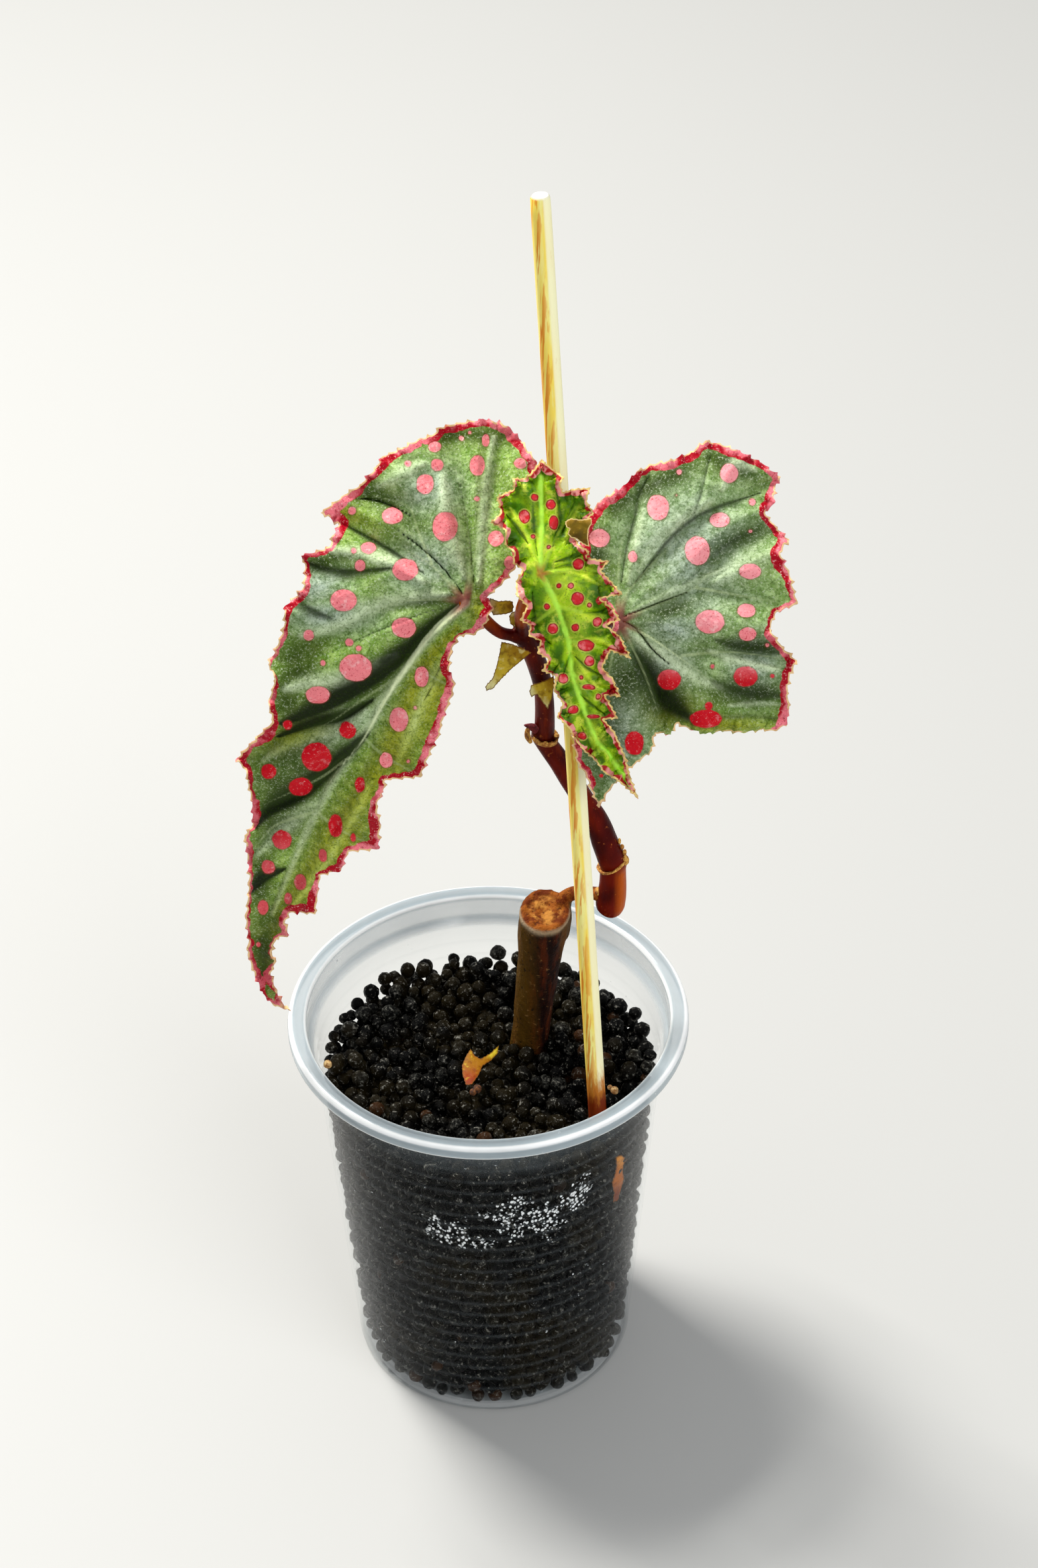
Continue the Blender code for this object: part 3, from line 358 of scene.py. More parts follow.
# Young leaf
YOUNG_SEAT = mm(9.9, -16.0, 184.2)
YOUNG_SHEET = (815, 867)
YOUNG_OUTLINE = [
    (818, 693), (830, 704), (852, 721), (846, 731), (850, 743), (864, 738), (892, 736), (886, 756),
    (897, 775), (882, 790), (888, 802), (866, 806), (874, 822), (890, 832), (886, 842), (920, 847),
    (908, 862), (924, 878), (940, 897), (907, 904), (926, 918), (937, 936), (916, 944), (938, 962),
    (953, 995), (922, 982), (910, 1008), (926, 1024), (937, 1052), (914, 1050), (924, 1066), (933, 1085),
    (912, 1086), (928, 1104), (944, 1140), (952, 1172), (964, 1206), (937, 1182), (912, 1166), (896, 1145),
    (882, 1134), (870, 1119), (858, 1098), (841, 1082), (850, 1062), (836, 1042), (838, 1020), (818, 1013),
    (828, 995), (811, 986), (816, 968), (798, 960), (800, 944), (785, 936), (796, 915), (780, 900),
    (779, 878), (789, 860), (774, 850), (776, 834), (762, 822), (763, 801), (741, 789), (756, 774),
    (750, 751), (762, 744), (776, 738), (774, 722), (792, 722), (807, 708),
]
YOUNG_VEINS = [
    [(815, 867), (826, 882), (841, 915), (859, 967), (863, 1015), (878, 1060), (900, 1115), (929, 1152),
     (955, 1190)],
    [(815, 867), (800, 815), (775, 770)],
    [(815, 867), (818, 790), (816, 720)],
    [(815, 867), (840, 810), (870, 765)],
    [(815, 867), (860, 860), (905, 862)],
    [(841, 915), (880, 925), (915, 930)],
    [(859, 967), (895, 975), (930, 985)],
    [(841, 915), (815, 935), (800, 948)],
    [(863, 1015), (845, 1035), (838, 1050)],
    [(863, 1015), (890, 1035), (920, 1045)],
]
YOUNG_REACH = 39.0 * MM
YOUNG_SAG = 14.5 * MM
YOUNG_PITCH = 0.26 * MM
YOUNG_SEED = 3
# Hollows, sunk and darkened with painted shade, and swellings, raised and lightened with painted light, as
# areas
YOUNG_SHADED_HOLLOWS = [
    (800, 760, 26, 22, 0.0), (860, 770, 22, 20, 0.0), (905, 890, 16, 30, 0.0), (815, 930, 14, 26, 0.0),
    (905, 955, 22, 8, 0.3), (905, 1020, 20, 7, 0.3), (845, 990, 8, 20, 0.0), (900, 1085, 18, 8, 0.0),
]
YOUNG_LIT = [
    (850, 880, 26, 26, 0.0), (868, 935, 16, 40, 0.0), (878, 1000, 12, 50, 0.0), (900, 1110, 12, 40, 0.0),
    (815, 830, 14, 30, 0.0), (835, 905, 14, 20, 0.0), (890, 860, 24, 10, 0.0),
]
# Creases sunk and darkened with painted shade, and ridges raised and lightened with painted light, as lines
YOUNG_SHADED_CREASES = [
    (5, 1.0, [(869, 990), (888, 1008), (908, 1020)]),
    (5, 0.8, [(880, 925), (900, 924), (922, 916)]),
    (6, 1.0, [(838, 848), (871, 836), (890, 822)]),
    (5, 0.7, [(836, 858), (860, 852), (886, 862)]),
    (6, 1.0, [(804, 893), (811, 948), (832, 972)]),
    (5, 1.0, [(876, 1047), (895, 1064), (914, 1078)]),
    (4, 0.9, [(862, 985), (850, 1018)]),
    (4, 0.8, [(878, 1096), (896, 1138)]),
    (6, 1.0, [(798, 822), (780, 798), (764, 778)]),
    (6, 0.9, [(838, 733), (846, 779), (834, 825)]),
    (5, 0.8, [(804, 740), (806, 790), (812, 840)]),
    (4, 0.9, [(870, 752), (858, 780), (848, 808)]),
]
YOUNG_LIT_RIDGES = [
    (5, 1.0, [(770, 766), (790, 803), (812, 852)]),
    (4, 0.8, [(830, 863), (871, 866), (908, 884)]),
    (4, 0.8, [(850, 825), (869, 775), (884, 752)]),
    (4, 0.9, [(882, 962), (905, 966), (930, 978)]),
    (7, 0.9, [(866, 925), (886, 930), (908, 936)]),
    (4, 0.8, [(872, 1000), (900, 1036), (922, 1046)]),
    (5, 0.8, [(846, 905), (858, 890), (866, 880)]),
]
YOUNG_SPOTS = [
    (792, 780, 8, 10), (807, 751, 5, 5), (832, 762, 6, 7), (836, 789, 6, 10), (873, 852, 8, 8),
    (872, 903, 9, 9), (844, 884, 3, 3), (862, 884, 4, 4), (826, 915, 4, 4), (890, 913, 3, 3),
    (835, 949, 7, 7), (869, 947, 5, 5), (902, 939, 6, 6), (885, 974, 12, 9), (890, 997, 7, 7),
    (850, 1024, 7, 7), (889, 1037, 9, 4), (903, 1052, 4, 4), (865, 1071, 7, 6), (896, 1081, 9, 3),
    (879, 1111, 6, 5), (805, 810, 3, 3), (828, 826, 3, 3), (878, 1022, 3, 3),
]

# Papery scales, the young leaf's turned-over edge, and a dry scrap between the soil and the wall
UPPER_SCALE_OUTLINE = [
    (743, 898), (756, 903), (768, 902), (777, 903), (779, 911), (777, 919), (768, 922), (758, 923),
    (748, 924), (741, 911),
]
MIDDLE_SCALE_OUTLINE = [
    (757, 963), (772, 966), (788, 972), (802, 979), (790, 989), (772, 1004), (756, 1020), (744, 1034),
    (734, 1037), (733, 1030), (744, 1017), (750, 998), (754, 980),
]
LOWER_SCALE_OUTLINE = [
    (803, 1030), (814, 1027), (826, 1022), (837, 1016), (838, 1030), (834, 1050), (828, 1066), (820, 1056),
    (812, 1044), (803, 1048), (800, 1040),
]
DRY_SCALE_OUTLINE = [
    (711, 1587), (717, 1597), (726, 1602), (740, 1594), (753, 1582), (752, 1593), (742, 1604), (729, 1612),
    (723, 1626), (713, 1640), (704, 1641), (699, 1626), (698, 1612), (704, 1598),
]
SMALL_SCALE_OUTLINE = [(822, 974), (829, 970), (836, 976), (835, 985), (829, 992), (823, 985)]
CROWN_SCALE_OUTLINE = [(769, 930), (774, 924), (782, 923), (787, 930), (786, 942), (779, 948), (771, 942)]
FOLD_OUTLINE = [
    (853, 788), (862, 783), (876, 785), (893, 783), (894, 790), (889, 799), (888, 812), (890, 826),
    (880, 822), (870, 814), (862, 812), (857, 806), (860, 799), (855, 796),
]
SCRAP_OUTLINE = [
    (930, 1747), (938, 1744), (947, 1750), (942, 1757), (940, 1766), (942, 1780), (938, 1794), (933, 1812),
    (926, 1815), (927, 1800), (924, 1786), (929, 1772), (931, 1760),
]
FOLD_LIFT = 1.3 * MM
# Outline, seat, the seat and the attached place on the sheet, (tilt, curl, slant) and paper
SCALES = {
    "scale_upper": (UPPER_SCALE_OUTLINE, mm(4.1, -2.6, 168.1), (765, 911), (779, 911), (-0.4, 60.0, 0.0),
                    "papery scale"),
    "scale_middle": (MIDDLE_SCALE_OUTLINE, mm(4.9, -1.0, 156.6), (770, 985), (785, 968), (0.35, 60.0, 0.0),
                     "papery scale"),
    "scale_lower": (LOWER_SCALE_OUTLINE, mm(10.3, 0.8, 148.0), (820, 1038), (836, 1024), (0.3, 60.0, 0.0),
                    "papery scale"),
    "dry_scale": (DRY_SCALE_OUTLINE, mm(-3.2, -3.4, 66.6), (712, 1612), (706, 1642), (-1.02, 90.0, 0.0),
                  "dry scale"),
    "small_scale": (SMALL_SCALE_OUTLINE, mm(11.5, 1.9, 155.7), (829, 981), (829, 974), (0.2, 60.0, 0.0),
                    "papery scale"),
    "crown_scale": (CROWN_SCALE_OUTLINE, mm(5.7, 0.8, 163.0), (777, 935), (778, 945), (0.2, 60.0, 0.0),
                    "papery scale"),
    "young_leaf_fold": (FOLD_OUTLINE, YOUNG_SEAT - LOOKING * FOLD_LIFT, YOUNG_SHEET, (872, 812),
                        (0.0, 0.0, 0.0), "folded leaf edge"),
    "wall_scrap": (SCRAP_OUTLINE, mm(23.09, -17.9, 51.88), (935, 1780), (930, 1815), (1.06, 0.0, -1.85),
                   "dry scrap"),
}
CAD_SCALES = ("scale_upper", "scale_middle", "scale_lower", "dry_scale")
# Slot of each paper, and its colours at the root, in the middle, at the tip and along the edge
PAPERS = {
    "papery scale": ("scale", (160, 122, 22), (218, 190, 58), (246, 240, 168), (112, 66, 22)),
    "dry scale": ("dry_scale", (134, 48, 2), (140, 92, 8), (198, 178, 50), (112, 66, 22)),
    "dry scrap": ("dry_scale", (110, 44, 6), (168, 92, 20), (200, 128, 34), (112, 66, 22)),
    "folded leaf edge": ("young_leaf", (84, 66, 8), (116, 92, 14), (176, 134, 50), (240, 208, 140)),
}

# Shoot: middle line and radius at each point, from its rounded elbow to the crown
SHOOT_LINE = [
    ((21.4, 4.1, 95.75), 0.5), ((21.5, 4.1, 96.0), 1.5), ((21.7, 4.1, 96.7), 2.3),
    ((21.95, 4.1, 98.0), 2.65), ((22.2, 4.0, 100.2), 2.6), ((22.4, 4.0, 103.0), 2.45),
    ((22.4, 4.0, 106.2), 2.3), ((22.4, 4.0, 107.4), 2.45), ((22.0, 4.0, 108.8), 2.5),
    ((21.0, 4.0, 112.2), 2.4), ((19.6, 4.1, 116.6), 2.1), ((16.0, 4.5, 123.8), 1.9),
    ((13.1, 4.5, 129.7), 1.9), ((10.6, 4.5, 134.4), 1.8), ((10.3, 4.5, 136.0), 2.0),
    ((10.6, 4.5, 137.6), 1.75), ((10.6, 4.0, 144.5), 1.7), ((9.9, 4.0, 149.4), 1.7),
    ((8.7, 3.5, 154.0), 1.8), ((7.2, 3.0, 158.4), 1.8), ((6.8, 2.6, 160.6), 1.1),
]
# Side branch: a shoulder on the cane's bark, then a thin neck to the shoot
CANE_BRANCH_LINE = [
    ((10.8, 6.2, 85.5), 1.4), ((12.1, 6.4, 89.5), 2.4), ((12.9, 6.8, 93.0), 2.5), ((13.5, 7.1, 95.3), 1.9),
    ((14.4, 7.0, 97.3), 1.35), ((16.2, 6.2, 98.8), 1.2), ((18.4, 5.2, 99.6), 1.2), ((20.8, 4.4, 99.9), 1.5),
]
# Leaf stalks: middle line up to the seat, and radius all the way
LEFT_STALK_LINE = [(7.4, 3.2, 157.2), (5.4, 1.8, 158.8), (2.8, 0.4, 161.0), (0.2, -0.2, 164.4)]
RIGHT_STALK_LINE = [(7.6, 3.4, 156.4), (11.6, 5.2, 155.9), (17.2, 4.8, 156.9), (21.4, 2.6, 160.4)]
YOUNG_STALK_LINE = [(7.2, 3.0, 158.0), (6.8, 0.4, 162.6), (6.9, -3.4, 167.8), (8.0, -8.2, 175.0)]
STALK_RADII = [1.25, 1.1, 1.05, 1.0, 1.1, 1.3]
# Scars of the shoot's two nodes: the dry bits on the lower one as place and half sizes, a flap on the upper
# one and the bud above it
LOWER_SCAR = Vector((22.3, 4.0, 107.3)) * MM
UPPER_SCAR = Vector((10.6, 4.5, 134.9)) * MM
SCAR_BITS = [
    ((24.5, 3.3, 108.5), (0.75, 0.7, 1.15)), ((24.4, 3.4, 110.2), (0.4, 0.4, 0.7)),
    ((24.0, 3.2, 111.6), (0.35, 0.35, 0.6)), ((23.5, 3.2, 112.9), (0.3, 0.3, 0.7)),
    ((23.2, 2.6, 110.0), (0.3, 0.25, 0.5)), ((19.9, 4.0, 100.9), (0.7, 0.9, 0.7)),
    ((19.7, 4.2, 99.5), (0.6, 0.9, 0.6)),
]
FLAP_LINE = [
    ((8.2, 3.4, 134.9), 0.35), ((7.7, 3.2, 136.3), 0.55), ((7.7, 3.2, 137.6), 0.45),
    ((8.1, 3.3, 138.6), 0.2),
]
BUD_LINE = [((9.2, 3.6, 137.6), 0.9), ((8.2, 3.4, 138.3), 0.6), ((7.1, 3.3, 138.7), 0.1)]
# Section of a scar's sleeve: radius, height and how ragged it is, as shares
SLEEVE_ROWS = ((0.94, -0.35, 0.0), (1.1, -0.3, 0.0), (1.2, 0.0, 0.0), (1.16, 0.5, 0.6), (1.2, 0.9, 1.0),
               (1.1, 0.95, 1.0), (1.04, 0.5, 0.6), (0.9, 0.2, 0.0))


def tone(red, green, blue):
    """A colour of display steps from 0 to 255, as linear light."""
    return tuple((step / 255) ** 2.2 for step in (red, green, blue)) + (1.0,)


class Mark:
    """A socket of a material's nodes. Python's operators on it add Math nodes."""

    def __init__(self, finish, socket):
        self.finish = finish
        self.socket = socket

    def sum_node(self, operation, *values):
        return self.finish.node("ShaderNodeMath", {"operation": operation}, dict(enumerate(values)))

    def __add__(self, other):
        return self.sum_node("ADD", self, other)

    def __radd__(self, other):
        return self.sum_node("ADD", other, self)

    def __sub__(self, other):
        return self.sum_node("SUBTRACT", self, other)

    def __rsub__(self, other):
        return self.sum_node("SUBTRACT", other, self)

    def __mul__(self, other):
        return self.sum_node("MULTIPLY", self, other)

    def __rmul__(self, other):
        return self.sum_node("MULTIPLY", other, self)

    def most(self, other):
        return self.sum_node("MAXIMUM", self, other)

    def rise(self, low, high):
        """0 below low, 1 above high, and soft between; low may be the larger."""
        return self.finish.node("ShaderNodeMapRange", {"interpolation_type": "SMOOTHSTEP"},
                                {0: self, 1: low, 2: high})


class Finish:
    """A material in the making, round its Principled shader."""

    def __init__(self, name):
        self.material = bpy.data.materials.new(name)
        self.material.use_nodes = True
        self.tree = self.material.node_tree
        self.shader = self.tree.nodes["Principled BSDF"]

    def node(self, kind, settings, sockets, output=0):
        """Add a node: its settings are set first, then its sockets."""
        made = self.tree.nodes.new(kind)
        for name, value in settings.items():
            setattr(made, name, value)
        for name, value in sockets.items():
            self.feed(made.inputs[name], value)
        return Mark(self, made.outputs[output])

    def feed(self, socket, value):
        if isinstance(value, Mark):
            self.tree.links.new(value.socket, socket)
        else:
            socket.default_value = value

    def set(self, **sockets):
        for name, value in sockets.items():
            self.feed(self.shader.inputs[name.replace("_", " ")], value)

    def attribute(self, name):
        return self.node("ShaderNodeAttribute", {"attribute_name": name}, {}, 2)

    def place(self):
        return self.node("ShaderNodeTexCoord", {}, {}, 3)

    def stretched(self, x, y, z):
        """Object coordinates scaled along each axis."""
        return self.node("ShaderNodeMapping", {}, {0: self.place(), 3: (x, y, z)})

    def noise(self, scale, detail=2.0, roughness=0.5, at=None):
        sockets = {"Vector": at or self.place(), "Scale": scale, "Detail": detail, "Roughness": roughness}
        return self.node("ShaderNodeTexNoise", {}, sockets)

    def cells(self, scale, feature="F1", at=None):
        sockets = {"Vector": at or self.place(), "Scale": scale}
        return self.node("ShaderNodeTexVoronoi", {"feature": feature}, sockets)

    def blend(self, share, first, second):
        return self.node("ShaderNodeMix", {"data_type": "RGBA"}, {0: share, 6: first, 7: second}, 2)

    def layers(self, colour, *coats):
        """The colour under coats, each given as its share and its own colour."""
        for share, coat in coats:
            colour = self.blend(share, colour, coat)
        return colour

    def bump(self, height, depth, strength=1.0):
        return self.node("ShaderNodeBump", {}, {"Height": height, "Distance": depth, "Strength": strength})


def leaf_finish():
    """Grey-green begonia leaf with pink spots, a pink and crimson margin and a tan edge, with painted shade
    in its creases and broad dark areas, painted light on its ridges and a painted grey sheen.
    """
    finish = Finish("spotted begonia leaf")
    margin, rib, spot_shading, under = map(finish.attribute, ("margin", "rib", "spot_shading", "under"))
    painted_sheen, olive, painted_shade, lit = map(finish.attribute, ("painted_sheen", "olive", "painted_shade", "lit"))
    clouds = finish.noise(150, 3)
    mottle = finish.noise(700, 4, 0.6)
    speckle = finish.noise(2600, 3, 0.75)
    ragged = 0.5 * finish.noise(900, 3) - 0.25
    net = finish.cells(520, "DISTANCE_TO_EDGE").rise(0.1, 0.0)
    crease_shade = finish.attribute("crease_shade") * (0.75 + 0.6 * mottle)
    midrib = finish.attribute("midrib") + 0.5 * mottle
    star = finish.attribute("seat").rise(5.0, 0.8) * rib.rise(0.9, 0.2)
    spot = finish.attribute("spot") + 0.7 * ragged
    # colour of the painted grey sheen
    painted_sheen_green = finish.blend(mottle.rise(0.35, 0.65), tone(120, 140, 112), tone(174, 192, 172))
    olive_green = finish.blend(mottle.rise(0.3, 0.7), tone(110, 122, 18), tone(162, 168, 44))
    pale = finish.blend(olive, tone(214, 232, 188), tone(190, 204, 84))
    green = finish.layers(
        tone(122, 162, 60),
        (mottle.rise(0.35, 0.65), tone(174, 208, 108)),
        (painted_sheen, painted_sheen_green),
        (clouds.rise(0.42, 0.7) * (0.7 - 0.5 * painted_sheen), tone(104, 130, 46)),
        (olive, olive_green),
        # painted shade over broad areas
        (painted_shade * (0.55 + 0.7 * clouds), tone(42, 56, 14)),
        # painted light along the ridges
        (lit * (0.2 + 0.9 * mottle), pale),
        (net * 0.3, tone(74, 96, 38)),
        (speckle.rise(0.55, 0.64) * (0.42 - 0.3 * olive), tone(222, 234, 204)),
        # near-black painted shade in the creases
        (crease_shade.rise(0.08, 0.95) * 0.97, tone(20, 30, 0)),
        (speckle.rise(0.45, 0.36) * 0.6, tone(46, 66, 14)),
        # painted shade in the valleys beside the veins
        (rib.rise(1.6, 0.5) * 0.3, tone(60, 80, 30)),
        (rib.rise(0.4, 0.1) * 0.35, tone(190, 206, 150)),
        (midrib.rise(1.05, 0.5) * 0.9, tone(240, 252, 200)),
        (star * 0.9, tone(122, 52, 56)))
    # pink patches over crimson on the margin band: painted light and shade, placed by noise
    patches = finish.noise(240, 2) + 0.1 * margin - 0.08
    red = finish.layers(
        tone(170, 12, 34),
        (patches.rise(0.54, 0.42), tone(242, 126, 138)),
        (speckle.rise(0.58, 0.66) * 0.7, tone(254, 206, 200)),
        # the margin turns crimson under painted shade
        (painted_shade * 0.8, tone(158, 14, 36)),
        (speckle.rise(0.44, 0.34) * 0.8, tone(128, 10, 30)))
    # the red band reaches further in under painted shade
    band = (margin + ragged - 2.8 * (finish.noise(150, 1) - 0.5) + 3.0 * finish.attribute("bare")
            + 0.35 * painted_shade).rise(1.3, 1.15)
    # spot colour with painted light and shade: paler pink and pale flecks where lit, crimson where shaded
    dots = finish.layers(
        tone(242, 132, 138),
        (spot_shading.rise(0.3, 0.8), tone(202, 20, 34)),
        (spot_shading.rise(0.0, -0.5), tone(252, 180, 186)),
        (mottle.rise(0.54, 0.68) * (0.6 - 0.4 * spot_shading.rise(0.2, 0.8)), tone(252, 196, 194)),
        (speckle.rise(0.45, 0.33) * 0.75, tone(178, 36, 56)),
        (speckle.rise(0.6, 0.7) * 0.4, tone(254, 212, 208)))
    underside = finish.layers(
        tone(96, 78, 46),
        (rib.rise(0.9, 0.2), tone(150, 52, 42)),
        (net * 0.5, tone(70, 46, 28)),
        (spot.rise(0.1, -0.1) * 0.5, tone(190, 96, 88)),
        (margin.rise(1.3, 0.9) * 0.7, tone(176, 60, 62)))
    edge = (margin + 0.6 * ragged).rise(0.3, 0.2) * finish.noise(260, 2).rise(0.4, 0.5)
    skin = finish.layers(
        green,
        (band, red),
        (spot.rise(0.3, 0.1) * 0.4, tone(110, 60, 40)),
        (spot.rise(0.05, -0.05), dots),
        (edge, tone(232, 194, 140)),
        (under, underside))
    relief = finish.cells(1300) * 0.6 + 0.5 * mottle + 0.3 * speckle
    finish.set(Base_Color=skin, Roughness=0.36 + 0.2 * mottle, Specular_IOR_Level=0.1,
               Normal=finish.bump(relief, 0.16 * MM, 0.9))
    return finish.material


def young_finish():
    """Lime young leaf with crimson spots and a gold and pink frilled edge, painted light on its swellings and
    painted shade in its creases.
    """
    finish = Finish("lime young leaf")
    margin, rib, midrib, under = map(finish.attribute, ("margin", "rib", "midrib", "under"))
    mottle = finish.noise(600, 3, 0.6)
    speckle = finish.noise(2600, 3, 0.7)
    ragged = 0.5 * finish.noise(1100, 3) - 0.25
    crease_shade = finish.attribute("crease_shade") * (0.6 + mottle)
    spot = finish.attribute("spot") + 0.6 * ragged
    seat = finish.attribute("seat") + 0.8 * mottle
    star = (seat.rise(2.7, 0.8) * rib.rise(0.5, 0.1)).most(seat.rise(1.3, 0.5))
    green = finish.layers(
        tone(74, 124, 4),
        (finish.noise(330, 3).rise(0.4, 0.6), tone(148, 190, 14)),
        # painted light on the swellings and ridges
        (finish.attribute("lit") * (0.5 + 0.7 * mottle), tone(214, 242, 62)),
        (mottle.rise(0.52, 0.72) * 0.6, tone(224, 232, 84)),
        (speckle.rise(0.44, 0.34) * 0.6, tone(50, 84, 4)),
        # painted shade in the sunken parts and creases
        (crease_shade.rise(0.15, 1.0) * 0.85, tone(40, 74, 3)),
        (margin.rise(2.2, 0.8) * mottle.rise(0.6, 0.4) * 0.8, tone(52, 82, 8)),
        (rib.rise(0.5, 0.1) * 0.5, tone(178, 216, 64)),
        ((midrib + 0.9 * mottle).rise(1.15, 0.4) * 0.9, tone(190, 252, 84)),
        (star * 0.75, tone(170, 44, 36)))
    red = finish.blend(finish.noise(420, 2).rise(0.46, 0.56), tone(168, 34, 36), tone(240, 156, 148))
    band = (margin + ragged - 3.0 * (finish.noise(260, 1) - 0.5)).rise(0.75, 0.6)
    dots = finish.blend(mottle.rise(0.45, 0.62), tone(206, 40, 48), tone(236, 116, 120))
    underside = finish.layers(
        tone(140, 122, 40),
        (rib.rise(0.6, 0.2), tone(176, 90, 50)),
        (margin.rise(0.9, 0.6) * 0.8, tone(196, 110, 84)))
    skin = finish.layers(
        green,
        (band, red),
        (spot.rise(0.35, 0.2) * 0.5, tone(206, 196, 90)),
        (spot.rise(0.14, 0.02), tone(140, 26, 28)),
        (spot.rise(0.0, -0.12), dots),
        ((margin + 0.5 * ragged).rise(0.3, 0.2), tone(236, 204, 128)),
        (under, underside))
    relief = finish.cells(1500) * 0.6 + 0.6 * mottle + 0.2 * speckle
    finish.set(Base_Color=skin, Roughness=0.34 + 0.2 * mottle, Specular_IOR_Level=0.16, Subsurface_Weight=0.1,
               Subsurface_Scale=0.6 * MM, Normal=finish.bump(relief, 0.12 * MM, 0.8))
    return finish.material


def scale_finish(name, root, middle, tip, edge):
    """Papery scale: fine lengthwise fibres, paler towards its tip, with a thin edge of its own colour."""
    finish = Finish(name)
    fibre = finish.noise(420, 3, 0.6, finish.stretched(1.0, 1.0, 0.25))
    mottle = finish.noise(900, 3)
    far = finish.attribute("far") + 0.3 * mottle - 0.15
    paper = finish.layers(
        root,
        (far.rise(0.1, 0.5), middle),
        (far.rise(0.6, 0.92), tip),
        (fibre.rise(0.45, 0.3) * 0.5, root),
        (mottle.rise(0.56, 0.7) * 0.5, tip),
        (mottle.rise(0.46, 0.34) * 0.4, tone(92, 50, 8)),
        (finish.attribute("margin").rise(0.2, 0.1) * 0.8, edge))
    finish.set(Base_Color=paper, Roughness=0.5 + 0.2 * mottle, Specular_IOR_Level=0.15,
               Normal=finish.bump(fibre + mottle, 0.2 * MM, 0.8))
    return finish.material


def shoot_finish():
    """Glossy red-brown skin, with a painted orange highlight on the right side of its elbow, and more orange
    on the stalks' upper ends.
    """
    finish = Finish("red shoot")
    streak = finish.noise(500, 3, 0.6, finish.stretched(1.0, 1.0, 0.2))
    mottle = finish.noise(1300, 3, 0.6)
    skin = finish.layers(
        tone(62, 4, 1),
        (finish.noise(120, 2).rise(0.35, 0.65), tone(104, 24, 3)),
        # painted orange highlight on the right side, and orange on the stalks' upper ends
        (finish.attribute("highlight_and_orange") * (0.4 + 0.9 * streak), tone(182, 84, 10)),
        (streak.rise(0.54, 0.76) * 0.45, tone(150, 54, 10)),
        (mottle.rise(0.64, 0.72) * 0.6, tone(176, 96, 44)),
        (streak.rise(0.42, 0.28) * 0.7, tone(58, 8, 3)))
    finish.set(Base_Color=skin, Roughness=0.3 + 0.25 * mottle, Specular_IOR_Level=0.08,
               Normal=finish.bump(streak + 0.5 * mottle, 0.16 * MM, 0.7))
    return finish.material


def scar_finish():
    """Dry tan cork of the leaf scars and the collars' remains."""
    finish = Finish("dry tan scar")
    mottle = finish.noise(1500, 4, 0.7)
    fibre = finish.noise(700, 3, 0.6, finish.stretched(1.0, 1.0, 0.3))
    cork = finish.layers(
        tone(156, 92, 30),
        (mottle.rise(0.4, 0.6), tone(222, 172, 84)),
        (fibre.rise(0.45, 0.3), tone(104, 44, 16)))
    finish.set(Base_Color=cork, Roughness=0.8, Normal=finish.bump(mottle + fibre, 0.3 * MM))
    return finish.material


def cane_finish():
    """Dark red-brown bark with olive streaks, a grey bark rim and orange wood in the cut."""
    finish = Finish("old cane")
    streak = finish.noise(420, 4, 0.65, finish.stretched(1.0, 1.0, 0.16))
    mottle = finish.noise(1100, 4, 0.65)
    bark = finish.layers(
        tone(28, 10, 4),
        (streak.rise(0.42, 0.6), tone(74, 33, 13)),
        (finish.attribute("olive") * (0.4 + finish.noise(110, 2)), tone(88, 62, 14)),
        (streak.rise(0.6, 0.72) * 0.6, tone(108, 56, 26)),
        (mottle.rise(0.6, 0.7) * 0.6, tone(150, 112, 70)),
        (mottle.rise(0.42, 0.32) * 0.8, tone(14, 5, 3)),
        (finish.attribute("bark_rim") * (0.5 + mottle), tone(168, 146, 118)))
    heart = finish.attribute("heart") * finish.noise(300, 3, 0.6).rise(0.48, 0.6)
    wood = finish.layers(
        tone(100, 44, 12),
        (finish.noise(420, 4, 0.6).rise(0.42, 0.6), tone(146, 82, 28)),
        (heart, tone(184, 124, 56)),
        (mottle.rise(0.44, 0.32) * 0.8, tone(62, 24, 8)))
    finish.set(Base_Color=finish.blend(finish.attribute("callus"), bark, wood), Roughness=0.6 + 0.25 * mottle,
               Specular_IOR_Level=0.12, Normal=finish.bump(streak + mottle, 0.5 * MM))
    return finish.material


def stake_finish():
    """Split bamboo: cream with fine yellow and orange fibres, stained where it enters the soil, with a
    painted near-white highlight down its right side and its orange fibres only on its left.
    """
    finish = Finish("split bamboo")
    shaded_side = finish.attribute("shaded_side")
    fibre = finish.noise(1500, 3, 0.6, finish.stretched(1.0, 1.0, 0.012))
    bundle = finish.noise(620, 2, 0.5, finish.stretched(1.0, 1.0, 0.008))
    blotches = finish.noise(800, 4, 0.7, finish.stretched(1.0, 1.0, 0.22))
    stain = finish.attribute("stain") + 1.1 * blotches - 0.55
    wood = finish.layers(
        tone(255, 226, 96),
        (bundle.rise(0.4, 0.62), tone(255, 246, 150)),
        (fibre.rise(0.51, 0.57) * shaded_side, tone(230, 138, 34)),
        (fibre.rise(0.42, 0.3) * 0.5, tone(255, 246, 160)),
        # painted near-white highlight down the right side
        (shaded_side.rise(0.32, 0.12) * 0.8, tone(255, 253, 214)),
        (stain.rise(0.1, 0.55), tone(206, 124, 44)),
        (stain.rise(0.5, 0.9), tone(128, 48, 14)),
        (finish.attribute("end"), tone(252, 248, 226)))
    finish.set(Base_Color=wood, Roughness=0.5, Specular_IOR_Level=0.2,
               Normal=finish.bump(fibre + 0.6 * bundle, 0.14 * MM, 0.8))
    return finish.material


